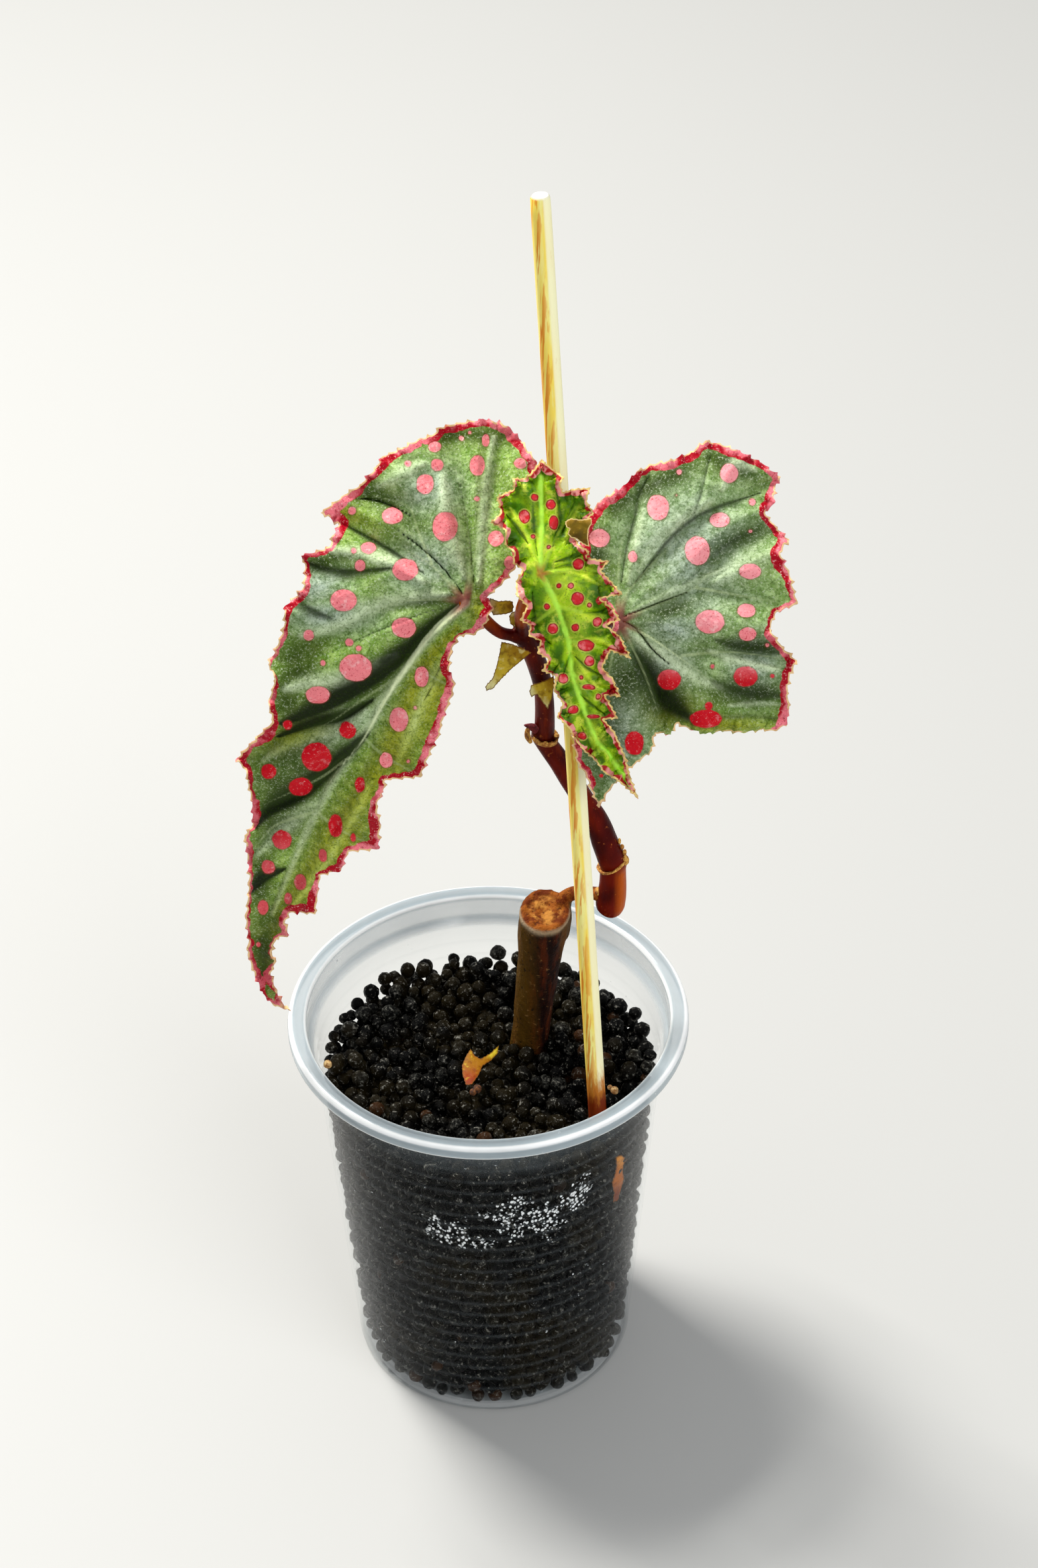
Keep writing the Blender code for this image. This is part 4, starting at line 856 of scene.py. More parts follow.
def grain_finish():
    """Near-black baked clay with a faint grey sheen and painted grey highlight flecks, brown on a few grains.
    """
    finish = Finish("baked soil grains")
    shade = finish.attribute("shade")
    mottle = finish.noise(1400, 4, 0.7)
    clay = finish.layers(
        tone(3, 3, 2),
        (mottle.rise(0.35, 0.7), tone(12, 12, 10)),
        (shade.rise(0.6, 0.95) * mottle.rise(0.45, 0.6), tone(56, 56, 52)),
        (finish.noise(55, 2).rise(0.5, 0.62) * 0.35, tone(44, 36, 12)),
        (shade.rise(0.975, 0.98) * 0.7, tone(60, 38, 20)),
        # painted grey highlight flecks
        (mottle.rise(0.57, 0.67) * 0.85, tone(128, 126, 118)))
    finish.set(Base_Color=clay, Roughness=0.24 + 0.3 * mottle, Specular_IOR_Level=0.06,
               Normal=finish.bump(mottle, 0.5 * MM))
    return finish.material


def crumb_finish(name, pale, dark):
    """Rough dry crumb or bud, mottled in two colours."""
    finish = Finish(name)
    mottle = finish.noise(1600, 4, 0.7)
    finish.set(Base_Color=finish.blend(mottle.rise(0.4, 0.6), dark, pale), Roughness=0.8,
               Normal=finish.bump(mottle, 0.3 * MM))
    return finish.material


def plastic_finish():
    """Clear thin plastic, milkier at the flange and along its rings, with painted white highlight lines at
    its edges and moisture inside the wall shown as painted white glints.
    """
    finish = Finish("clear milky plastic")
    milk_and_glint = finish.attribute("milk_and_glint")
    haze = finish.noise(60, 3, 0.6)
    scuff = finish.noise(900, 3, 0.7, finish.stretched(0.3, 0.3, 1.6))
    drops = finish.cells(1300, at=finish.stretched(1.0, 1.0, 0.8))
    wet = (finish.attribute("wet") + 3.2 * finish.noise(420, 3, 0.7) - 1.6).rise(0.55, 0.8)
    sparkle = wet * drops.rise(0.42, 0.3)
    body = milk_and_glint * (0.6 + 0.8 * haze) + 0.02 * scuff.rise(0.58, 0.7)
    # milkiness above 0.6 and the moisture's sparkle paint the skin white: painted highlight lines and painted
    # glints
    white = milk_and_glint.rise(0.6, 0.8).most(sparkle)
    finish.set(Roughness=0.12, Base_Color=finish.blend(white, tone(172, 184, 190), tone(246, 250, 250)),
               Subsurface_Weight=0.5, Subsurface_Scale=2.0 * MM, Subsurface_Radius=(1.0, 1.0, 1.0))
    clear = finish.node("ShaderNodeBsdfTransparent", {}, {"Color": (0.985, 0.99, 0.99, 1.0)})
    gloss = finish.node("ShaderNodeBsdfGlossy", {}, {"Color": (1.0, 1.0, 1.0, 1.0), "Roughness": 0.08})
    facing = finish.node("ShaderNodeLayerWeight", {}, {"Blend": 0.5}, 1)
    glance = 0.001 + 0.35 * facing * facing * facing * facing * facing
    thin = finish.node("ShaderNodeMixShader", {}, {0: glance, 1: clear, 2: gloss})
    milky = Mark(finish, finish.shader.outputs[0])
    wall = finish.node("ShaderNodeMixShader", {}, {0: body.most(sparkle), 1: thin, 2: milky})
    finish.feed(finish.tree.nodes["Material Output"].inputs["Surface"], wall)
    return finish.material


def deselect():
    bpy.ops.object.select_all(action="DESELECT")


def take_up(piece):
    """Make the piece the only one that operators act on."""
    deselect()
    piece.select_set(True)
    bpy.context.view_layer.objects.active = piece


def settle(piece, name, material, stands_for, angle=60):
    """Finish a piece: its place in its mesh, its material, its body and the nodes it stands for."""
    take_up(piece)
    bpy.ops.object.transform_apply(location=True, rotation=True, scale=True)
    bpy.ops.object.shade_smooth_by_angle(angle=math.radians(angle))
    piece.name = name
    piece.data.name = name
    piece.data.materials.clear()
    piece.data.materials.append(material)
    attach(piece, "root")
    if stands_for:
        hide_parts(*stands_for)


def mesh_piece(name, corners, faces, values=None, edges=()):
    """A mesh object from arrays of corners and faces, with named values at its corners."""
    mesh = bpy.data.meshes.new(name)
    mesh.from_pydata([tuple(corner) for corner in corners], edges, [tuple(face) for face in faces])
    mesh.validate()
    piece = bpy.data.objects.new(name, mesh)
    bpy.context.collection.objects.link(piece)
    for key, value in (values or {}).items():
        note_value(piece, key, value)
    return piece


def note_value(piece, key, values):
    """Keep a value for each corner of the piece, which its material reads by that name."""
    layer = piece.data.attributes.new(key, "FLOAT", "POINT")
    layer.data.foreach_set("value", np.asarray(values, np.float32))


def corners_of(piece):
    flat = np.zeros(len(piece.data.vertices) * 3)
    piece.data.vertices.foreach_get("co", flat)
    return flat.reshape(-1, 3)


def put_corners(piece, corners):
    piece.data.vertices.foreach_set("co", np.asarray(corners).ravel())
    piece.data.update()


def ramp(values, start, length):
    """0 before the start and 1 from that length further on, or the other way for a negative length."""
    return np.clip((values - start) / length, 0.0, 1.0)


def unevenness(corners, size, offset=0.0):
    """Smooth noise from about -1 to 1 at each corner, with lumps of that size."""
    shift = Vector((offset, 0.37 * offset, 1.7 * offset))
    return np.array([noise.noise(Vector(corner) / size + shift) for corner in corners])


def body_radius(height):
    """Outside radius of the cup's flaring wall."""
    return FOOT_RADIUS + BODY_FLARE * height


def line_distance(points, line):
    """Each point's distance to the line, how far along it the nearest place lies, and whether left of it."""
    best = np.full(len(points), 1.0)
    along = np.zeros(len(points))
    left = np.zeros(len(points), bool)
    passed = 0.0
    for start, end in zip(line, line[1:]):
        run = end - start
        length = math.hypot(*run)
        offset = points - start
        share = np.clip(offset @ run / length ** 2, 0.0, 1.0)
        distance = np.hypot(*(offset - share[:, None] * run).T)
        nearer = distance < best
        best = np.where(nearer, distance, best)
        along = np.where(nearer, passed + length * share, along)
        left = np.where(nearer, run[0] * offset[:, 1] > run[1] * offset[:, 0], left)
        passed += length
    return best, along, left


def curved(line, between=5):
    """The sheet line as a smooth curve through its points."""
    points = [np.array(point, float) for point in line]
    return [point for point, share in smooth_path(points, [0.0] * len(points), between)]


def inside(points, outline):
    """Even-odd test of each point."""
    within = np.zeros(len(points), bool)
    for (x1, y1), (x2, y2) in zip(outline, np.roll(outline, -1, 0)):
        if y1 != y2:
            crosses = (y1 > points[:, 1]) != (y2 > points[:, 1])
            within ^= crosses & (points[:, 0] < x1 + (points[:, 1] - y1) * (x2 - x1) / (y2 - y1))
    return within


def in_space(seat, plan, rise):
    """Place blade points, lifted by rise towards the viewpoint, without moving them in the view."""
    depth = (seat - VIEWPOINT) @ LOOKING
    toward = (VIEWPOINT - seat) / depth
    rise = np.asarray(rise)[:, None]
    return seat + toward * rise + (plan[:, :1] * ACROSS + plan[:, 1:] * UPWARD) * (depth - rise) / depth


def toothed(outline, step, tooth, depth, seed):
    """The outline in short steps, with fine uneven teeth that lean one way."""
    heights = np.random.default_rng(seed).uniform(0.35, 1.0, 2000)
    area = np.sum(outline[:, 0] * np.roll(outline[:, 1], -1) - np.roll(outline[:, 0], -1) * outline[:, 1])
    points = []
    passed = 0.0
    for start, end in zip(outline, np.roll(outline, -1, 0)):
        run = end - start
        length = math.hypot(*run)
        outward = np.array((run[1], -run[0])) / length * np.sign(area)
        count = max(1, round(length / step))
        for index in range(count):
            share = index / count
            phase = (passed + share * length) / tooth
            height = heights[int(phase) % len(heights)] * (1.5 * (phase % 1.0) ** 2.2 - 0.45)
            near_corner = min(1.0, 5 * share, 5 * (1 - share) + 0.1)
            points.append(start + run * share + outward * depth * height * near_corner)
        passed += length
    return np.array(points)


class Blade:
    """A blade drawn on the sheet from its seat, made a fine thin solid with its marks as values."""

    def __init__(self, seat, sheet_seat, outline):
        self.seat = seat
        self.sheet_seat = sheet_seat
        self.unit = (seat - VIEWPOINT) @ LOOKING * SHEET_STEP
        self.outline = self.plan(outline)

    def plan(self, points):
        """Sheet points as (across, upward) lengths from the seat."""
        points = np.asarray(points, float)
        return (points - self.sheet_seat) * (1.0, -1.0) * self.unit

    def fill(self, pitch, tooth, depth, seed):
        """Triangles of the toothed outline filled with a triangle grid."""
        self.seed = seed
        rim = toothed(self.outline, pitch * 0.8, tooth, depth, seed)
        low = rim.min(0)
        high = rim.max(0)
        row_pitch = pitch * math.sqrt(3) / 2
        across, up = high - low
        rows, columns = np.mgrid[0:int(up / row_pitch) + 1, 0:int(across / pitch) + 1]
        grid = np.stack((low[0] + (columns + 0.5 * (rows % 2)) * pitch, low[1] + rows * row_pitch), -1)
        grid = grid.reshape(-1, 2)
        grid = grid[inside(grid, rim)]
        closed = np.vstack((rim, rim[:1]))
        grid = grid[line_distance(grid, closed)[0] > 0.5 * pitch]
        every = [Vector(point) for point in np.vstack((rim, grid))]
        corners, edges, faces = delaunay_2d_cdt(every, [], [list(range(len(rim)))], 1, 1e-8)[:3]
        self.points = np.array([tuple(corner) for corner in corners])
        self.faces = np.array(faces)
        self.margin, self.along = line_distance(self.points, closed)[:2]

    def lumps(self, size, offset):
        """Smooth noise from about -1 to 1 at each point, with lumps of that size."""
        return unevenness(np.column_stack((self.points, np.zeros(len(self.points)))), size, offset)

    def on_sheet(self):
        """Sheet points of the blade's own points."""
        return self.points / self.unit * (1.0, -1.0) + self.sheet_seat

    def find_veins(self, veins):
        """Keep each point's distance to the nearest vein, and how far along that vein it lies."""
        self.nearest = np.full(len(self.points), 1.0)
        self.reach = np.zeros(len(self.points))
        for vein in veins:
            distance, along = line_distance(self.points, self.plan(curved(vein)))[:2]
            self.reach = np.where(distance < self.nearest, along, self.reach)
            self.nearest = np.minimum(self.nearest, distance)

    def droop(self, reach, sag, lean_back, side_droop, power):
        """Sag below the seat, a lean back above it and falling sides."""
        across, up = self.points.T
        sagging = -sag * (np.maximum(-up, 0.0) / reach) ** power
        return sagging - lean_back * np.maximum(up, 0.0) ** 2 - side_droop * across ** 2

    def valleys(self, depth, width, growth):
        """Veins lie in valleys that deepen away from the seat."""
        away = np.minimum(1.0, np.hypot(*self.points.T) / growth)
        return -depth * away * np.exp(-(self.nearest / width) ** 2)

    def ribs(self, height, width, length):
        """Raised rib along the floor of each valley, slimmer towards its end."""
        share = np.clip(1.0 - self.reach / length, 0.25, 1.0)
        return height * share * np.exp(-(self.nearest / (width * share)) ** 2)

    def frill(self, height, length, width):
        """Waves along the margin that fade inwards."""
        return height * np.sin(2 * math.pi * self.along / length) * np.exp(-(self.margin / width) ** 2)

    def spots(self, marks):
        """How far outside the nearest spot each point lies."""
        best = np.full(len(self.points), 1.0)
        for x, y, half_width, half_height in marks:
            middle = self.plan([(x, y)])[0]
            halves = np.array((half_width, half_height)) * self.unit
            ratio = np.hypot(*((self.points - middle) / halves).T)
            best = np.minimum(best, (ratio - 1.0) * halves.mean())
        return best

    def patches(self, marks):
        """Soft patches from 0 to 1, each sheared to climb to the right."""
        most = np.zeros(len(self.points))
        for x, y, half_length, half_width, climb in marks:
            middle = self.plan([(x, y)])[0]
            offset = (self.points - middle) / self.unit
            over = (offset[:, 1] - climb * offset[:, 0]) / half_width
            most = np.maximum(most, np.exp(-(offset[:, 0] / half_length) ** 2 - over ** 2))
        return most

    def folds(self, lines, crisp):
        """Soft tapered bands from 0 to 1 along lines, crisp times narrower on the left of each."""
        most = np.zeros(len(self.points))
        for half_width, strength, line in lines:
            distance, along, left = line_distance(self.points, self.plan(curved(line)))
            taper = 0.3 + 0.7 * np.sin(math.pi * along / along.max())
            over = distance * np.where(left, crisp, 1.0) / (half_width * self.unit * taper)
            most = np.maximum(most, strength * np.exp(-over ** 2))
        return most

    def solid(self, name, rise, thickness, rib_bulge, values):
        """Both faces and the edge, from the rise of each point towards the viewpoint."""
        middle = in_space(self.seat, self.points, rise)
        a, b, c = (middle[self.faces[:, corner]] for corner in range(3))
        face_normals = np.cross(b - a, c - a)
        normals = np.zeros_like(middle)
        for corner in range(3):
            np.add.at(normals, self.faces[:, corner], face_normals)
        normals /= np.linalg.norm(normals, axis=1)[:, None]
        thin = thickness * np.clip(0.45 + self.margin / (0.8 * MM), 0.0, 1.0)[:, None]
        front = middle + normals * thin / 2
        back = middle - normals * (thin / 2 + rib_bulge[:, None])
        count = len(middle)
        borders = {}
        for face in self.faces:
            for start, end in ((face[0], face[1]), (face[1], face[2]), (face[2], face[0])):
                if (end, start) in borders:
                    del borders[(end, start)]
                else:
                    borders[(start, end)] = True
        faces = list(self.faces) + [face[::-1] + count for face in self.faces]
        faces += [(end, start, count + start, count + end) for start, end in borders]
        values["under"] = np.zeros(count)
        doubled = {key: np.concatenate((value, value)) for key, value in values.items()}
        doubled["under"][count:] = 1.0
        corners = np.clip(np.vstack((front, back)), np.array(cad_low) + BOX_GAP, np.array(cad_high) - BOX_GAP)
        return mesh_piece(name, corners, faces, doubled)


def grown_blade(name, blade, midrib, spots, creases, ridges, marks, rise, spot_shading, rib_fade):
    """The solid of one of the two grown leaves, from its large shape, its folds and its marks."""
    dark = blade.folds(*creases)
    lit = blade.folds(ridges, 1.3)
    rise = rise + blade.ribs(0.2 * MM, 0.34 * MM, 70 * MM)
    rise += blade.frill(0.5 * MM, 7.0 * MM, 2.0 * MM) + blade.frill(0.3 * MM, 2.7 * MM, 1.1 * MM)
    rise += 0.7 * MM * (lit - dark)
    rise += 0.4 * MM * blade.lumps(5 * MM, blade.seed) * ramp(blade.nearest, 0.0, 3 * MM)
    rise += 0.14 * MM * blade.lumps(1.6 * MM, 9.0)
    main_rib, along = line_distance(blade.points, blade.plan(curved(midrib)))[:2]
    values = {
        "margin": blade.margin / MM, "rib": blade.nearest / MM + blade.reach / (80 * MM),
        "midrib": main_rib / MM + along / (60 * MM) + rib_fade, "seat": np.hypot(*blade.points.T) / MM,
        "spot": blade.spots(spots) / MM, "crease_shade": dark, "lit": lit, "spot_shading": spot_shading,
    }
    for key, (patches, lines) in marks.items():
        values[key] = np.maximum(blade.patches(patches), blade.folds(lines, 1.0))
    return blade.solid(name, rise, GROWN_THICK, blade.ribs(0.3 * MM, 0.6 * MM, 70 * MM), values)


def make_left_leaf(material):
    """Long drooping leaf, its spots painted dark red with shade from its middle down."""
    blade = Blade(LEFT_SEAT, LEFT_SHEET, LEFT_OUTLINE)
    blade.fill(LEFT_PITCH, *GROWN_TEETH, LEFT_SEED)
    blade.find_veins(LEFT_VEINS)
    rise = blade.droop(LEFT_REACH, LEFT_SAG, 6.0, 3.5, 1.5) + blade.valleys(1.9 * MM, 2.4 * MM, 14 * MM)
    right, down = blade.on_sheet().T
    first, second = LEFT_SHADE_ROWS
    spot_shading = ramp(down, first, LEFT_SHADE_FADE) - 0.4 * ramp(down, second, LEFT_SHADE_FADE)
    spot_shading = np.where(right > LEFT_SHADE_COLUMN, 0.3 * spot_shading, spot_shading)
    marks = {"olive": (LEFT_OLIVE, LEFT_OLIVE_LINES), "painted_shade": (LEFT_PAINTED_SHADE, []), "painted_sheen": (LEFT_PAINTED_SHEEN, []),
             "bare": ([], LEFT_NARROW)}
    piece = grown_blade("leaf_left", blade, LEFT_VEINS[0], LEFT_SPOTS, (LEFT_SHADED_CREASES, 2.4), LEFT_LIT_RIDGES,
                        marks, rise, spot_shading, 0.0)
    settle(piece, "leaf_left_blade", material, ("leaf_left",), 70)


def make_right_leaf(material):
    """Broad leaf with its lower edge turned under, its spots painted darker red with shade below and paler
    pink with light above.
    """
    blade = Blade(RIGHT_SEAT, RIGHT_SHEET, RIGHT_OUTLINE)
    blade.fill(RIGHT_PITCH, *GROWN_TEETH, RIGHT_SEED)
    blade.find_veins(RIGHT_VEINS)
    rise = blade.droop(RIGHT_REACH, RIGHT_SAG, 6.0, 3.0, 1.5) + blade.valleys(1.6 * MM, 2.4 * MM, 14 * MM)
    across, up = blade.points.T
    rise -= 1.2 * np.maximum(-RIGHT_TURN_DOWN - up, 0.0) * ramp(across, RIGHT_TURN_ACROSS, 2 * MM)
    right, down = blade.on_sheet().T
    spot_shading = np.clip((down - RIGHT_SHADE_ROW) / RIGHT_SHADE_FADE, -0.2, 1)
    marks = {"olive": (RIGHT_OLIVE, []), "painted_shade": (RIGHT_PAINTED_SHADE, []), "painted_sheen": (RIGHT_PAINTED_SHEEN, []),
             "bare": (RIGHT_BARE, [])}
    piece = grown_blade("leaf_right", blade, RIGHT_VEINS[0], RIGHT_SPOTS, (RIGHT_SHADED_CREASES, 1.3), RIGHT_LIT_RIDGES,
                        marks, rise, spot_shading, 0.4)
    settle(piece, "leaf_right_blade", material, ("leaf_right",), 70)


def make_young_leaf():
    """Small frilled leaf in front of the others."""
    blade = Blade(YOUNG_SEAT, YOUNG_SHEET, YOUNG_OUTLINE)
    blade.fill(YOUNG_PITCH, *YOUNG_TEETH, YOUNG_SEED)
    blade.find_veins(YOUNG_VEINS)
    lower = line_distance(blade.points, blade.plan(YOUNG_VEINS[0]))[0]
    upper = line_distance(blade.points, blade.plan(YOUNG_VEINS[2]))[0]
    middle = np.where(blade.points[:, 1] < 0, lower, upper)
    dark = np.maximum(0.6 * blade.patches(YOUNG_SHADED_HOLLOWS), blade.folds(YOUNG_SHADED_CREASES, 1.6))
    lit = np.maximum(0.6 * blade.patches(YOUNG_LIT), blade.folds(YOUNG_LIT_RIDGES, 1.3))
    rise = blade.droop(YOUNG_REACH, YOUNG_SAG, 3.0, 0.0, 1.3) - 12.0 * middle ** 2
    rise += blade.valleys(0.9 * MM, 1.1 * MM, 8 * MM) + blade.ribs(0.3 * MM, 0.33 * MM, 40 * MM)
    rise += blade.frill(1.2 * MM, 4.4 * MM, 1.9 * MM) + blade.frill(0.5 * MM, 1.9 * MM, 0.9 * MM)
    rise += 0.25 * MM * blade.lumps(1.8 * MM, 3.0)
    rise += 0.4 * MM * lit - 0.5 * MM * dark
    values = {
        "margin": blade.margin / MM, "rib": blade.nearest / MM + blade.reach / (60 * MM),
        "midrib": np.minimum(lower, upper) / MM, "seat": np.hypot(*blade.points.T) / MM,
        "spot": blade.spots(YOUNG_SPOTS) / MM, "crease_shade": dark, "lit": lit,
    }
    piece = blade.solid("leaf_young", rise, YOUNG_THICK, blade.ribs(0.22 * MM, 0.4 * MM, 40 * MM), values)
    settle(piece, "leaf_young_blade", young_finish(), ("leaf_young",), 70)


def make_scale(name, blade, root, bend, material):
    """Thin curled scale with a ragged edge; root is the sheet point where it is attached."""
    tilt, curl, slant = bend
    blade.fill(SCALE_PITCH, *SCALE_TEETH, SCALE_SEED)
    across, up = blade.points.T
    rise = tilt * up + slant * across - curl * across ** 2 + 0.16 * MM * blade.lumps(1.4 * MM, tilt)
    away = np.hypot(*(blade.on_sheet() - root).T)
    values = {"margin": blade.margin / MM, "far": away / away.max()}
    piece = blade.solid(name, rise, SCALE_THICK, np.zeros(len(rise)), values)
    settle(piece, name + "_paper", material, (name,) if name in CAD_SCALES else (), 70)


def make_scales():
    papers = {}
    for name, (slot, *colours) in PAPERS.items():
        papers[name] = scale_finish(name, *(tone(*colour) for colour in colours))
    for name, (outline, seat, sheet_seat, root, bend, paper) in SCALES.items():
        make_scale(name, Blade(seat, sheet_seat, outline), root, bend, papers[paper])


def smooth_path(points, radii, between):
    """Catmull-Rom curve through the points, with the radius carried along."""
    path = []
    for index in range(len(points) - 1):
        before = points[max(index - 1, 0)]
        start = points[index]
        end = points[index + 1]
        beyond = points[min(index + 2, len(points) - 1)]
        for step in range(between):
            t = step / between
            point = 0.5 * (2 * start + (end - before) * t
                           + (2 * before - 5 * start + 4 * end - beyond) * t ** 2
                           + (3 * start - before - 3 * end + beyond) * t ** 3)
            path.append((point, radii[index] + (radii[index + 1] - radii[index]) * t))
    path.append((points[-1], radii[-1]))
    return path


def stem_path(line, between):
    """Smooth path of a stem, from its places and radii in mm."""
    points = [Vector(point) * MM for point, radius in line]
    return smooth_path(points, [radius * MM for point, radius in line], between)


def rod(name, path, resolution=6):
    """A curve along the path, bevelled round with a radius at each point, made a mesh."""
    curve = bpy.data.curves.new(name, "CURVE")
    curve.dimensions = "3D"
    curve.bevel_depth = 1.0
    curve.bevel_resolution = resolution
    curve.use_fill_caps = True
    spline = curve.splines.new("POLY")
    spline.points.add(len(path) - 1)
    for place, (point, radius) in zip(spline.points, path):
        place.co = (*point, 1.0)
        place.radius = radius
    piece = bpy.data.objects.new(name, curve)
    bpy.context.collection.objects.link(piece)
    take_up(piece)
    bpy.ops.object.convert(target="MESH")
    return bpy.context.view_layer.objects.active


def roughen(piece, depth, size, stretch=1.0):
    """Push the skin in and out by smooth noise."""
    corners = corners_of(piece)
    normals = np.array([vertex.normal for vertex in piece.data.vertices])
    sampled = corners * (1.0, 1.0, stretch)
    put_corners(piece, corners + normals * depth * unevenness(sampled, size)[:, None])


def one_skin(piece, voxel, rounds):
    """Merge joined rods into one smooth skin."""
    take_up(piece)
    skin = piece.modifiers.new("skin", "REMESH")
    skin.mode = "VOXEL"
    skin.voxel_size = voxel
    bpy.ops.object.modifier_apply(modifier=skin.name)
    soft = piece.modifiers.new("soft", "SMOOTH")
    soft.iterations = rounds
    bpy.ops.object.modifier_apply(modifier=soft.name)


def seat_stalk(line, seat):
    """Leaf stalk that meets its blade square, just behind the seat."""
    points = [Vector(point) * MM for point in line]
    points += [Vector(seat + LOOKING * 3.2 * MM), Vector(seat + LOOKING * 0.1 * MM)]
    return smooth_path(points, [radius * MM for radius in STALK_RADII], 8)


def join(pieces):
    take_up(pieces[0])
    for piece in pieces:
        piece.select_set(True)
    bpy.ops.object.join()
    return pieces[0]


def make_shoot():
    """The shoot and its three leaf stalks, under one skin."""
    parts = [rod("new_shoot", stem_path(SHOOT_LINE, 6), 8)]
    stalks = ((LEFT_STALK_LINE, LEFT_SEAT), (RIGHT_STALK_LINE, RIGHT_SEAT), (YOUNG_STALK_LINE, YOUNG_SEAT))
    parts += [rod("stalk", seat_stalk(line, seat)) for line, seat in stalks]
    shoot = join(parts)
    one_skin(shoot, 0.24 * MM, 4)
    roughen(shoot, 0.14 * MM, 2.2 * MM, 0.4)
    x, y, z = corners_of(shoot).T
    # painted orange highlight on the right of the elbow, and orange on the stalks' upper ends
    elbow = ramp(z, 108 * MM, -2 * MM) * ramp(x, 22.4 * MM, 1.4 * MM)
    note_value(shoot, "highlight_and_orange", elbow + 0.8 * ramp(z, 161.5 * MM, 3 * MM))
    settle(shoot, "new_shoot_skin", shoot_finish(), ("new_shoot",))


def collar(name, middle, tilt, radius, height, seed):
    """Ragged dry sleeve round a node, where an old scale was."""
    sides = 64
    angles = 2 * math.pi * np.arange(sides) / sides
    ragged = np.tile(np.random.default_rng(seed).uniform(-1, 1, sides), 3)
    ragged = 1.0 + 0.5 * np.convolve(ragged, np.ones(3) / 3, "same")[sides:2 * sides]
    corners = []
    for wide, high, share in SLEEVE_ROWS:
        lift = height * high * (1.0 + share * (ragged - 1.0))
        reach = radius * wide
        corners.append(np.column_stack((np.cos(angles) * reach, np.sin(angles) * reach, lift)))
    turn = np.array(Matrix.Rotation(tilt, 3, "Y"))
    faces = []
    for row in range(len(SLEEVE_ROWS)):
        low = row * sides
        high = (row + 1) % len(SLEEVE_ROWS) * sides
        for step in range(sides):
            beside = (step + 1) % sides
            faces.append((low + step, low + beside, high + beside, high + step))
    return mesh_piece(name, np.vstack(corners) @ turn.T + np.array(middle), faces)


def make_collars():
    """Leaf scars of the shoot's two nodes, with what is left of their scales, and the bud above."""
    cork = scar_finish()
    shapes = lumpy_grains(3)
    pieces = [collar("lower scar", LOWER_SCAR, math.radians(-26), 2.4 * MM, 0.45 * MM, 2)]
    for index, (place, size) in enumerate(SCAR_BITS):
        shape, faces = shapes[index % len(shapes)]
        pieces.append(mesh_piece("bit", shape * mm(*size) + mm(*place), faces))
    settle(join(pieces), "shoot_scar_lower", cork, ())
    upper = collar("upper scar", UPPER_SCAR, math.radians(12), 2.0 * MM, 0.9 * MM, 4)
    flap = rod("flap", stem_path(FLAP_LINE, 5), 4)
    settle(join([upper, flap]), "shoot_scar_upper", cork, ())
    bud = rod("bud", stem_path(BUD_LINE, 6), 5)
    settle(bud, "shoot_bud", crumb_finish("crimson bud", tone(120, 24, 34), tone(84, 8, 20)), ())


def cane_path():
    """Middle line of the cane from just under the soil's top to past the cut."""
    direction = (CANE_TOP - CANE_FOOT).normalized()
    length = (CANE_TOP - CANE_FOOT).length
    stations = [(-6.0 * MM, 0.0), (5.0 * MM, 0.05), (12.0 * MM, 0.2), (19.0 * MM, 0.4), (25.0 * MM, 0.75),
                (28.5 * MM, 1.0), (length, 1.06), (length + 4.0 * MM, 1.0)]
    points = [CANE_FOOT + direction * distance for distance, share in stations]
    radii = [CANE_FOOT_RADIUS + (CANE_TOP_RADIUS - CANE_FOOT_RADIUS) * share for distance, share in stations]
    return smooth_path(points, radii, 8)


def cut_off(piece, place, normal):
    """Cut the piece flat and drop what lies past the cut."""
    take_up(piece)
    bpy.ops.object.mode_set(mode="EDIT")
    bpy.ops.mesh.select_all(action="SELECT")
    bpy.ops.mesh.bisect(plane_co=place, plane_no=normal, use_fill=True, clear_outer=True)
    bpy.ops.object.mode_set(mode="OBJECT")


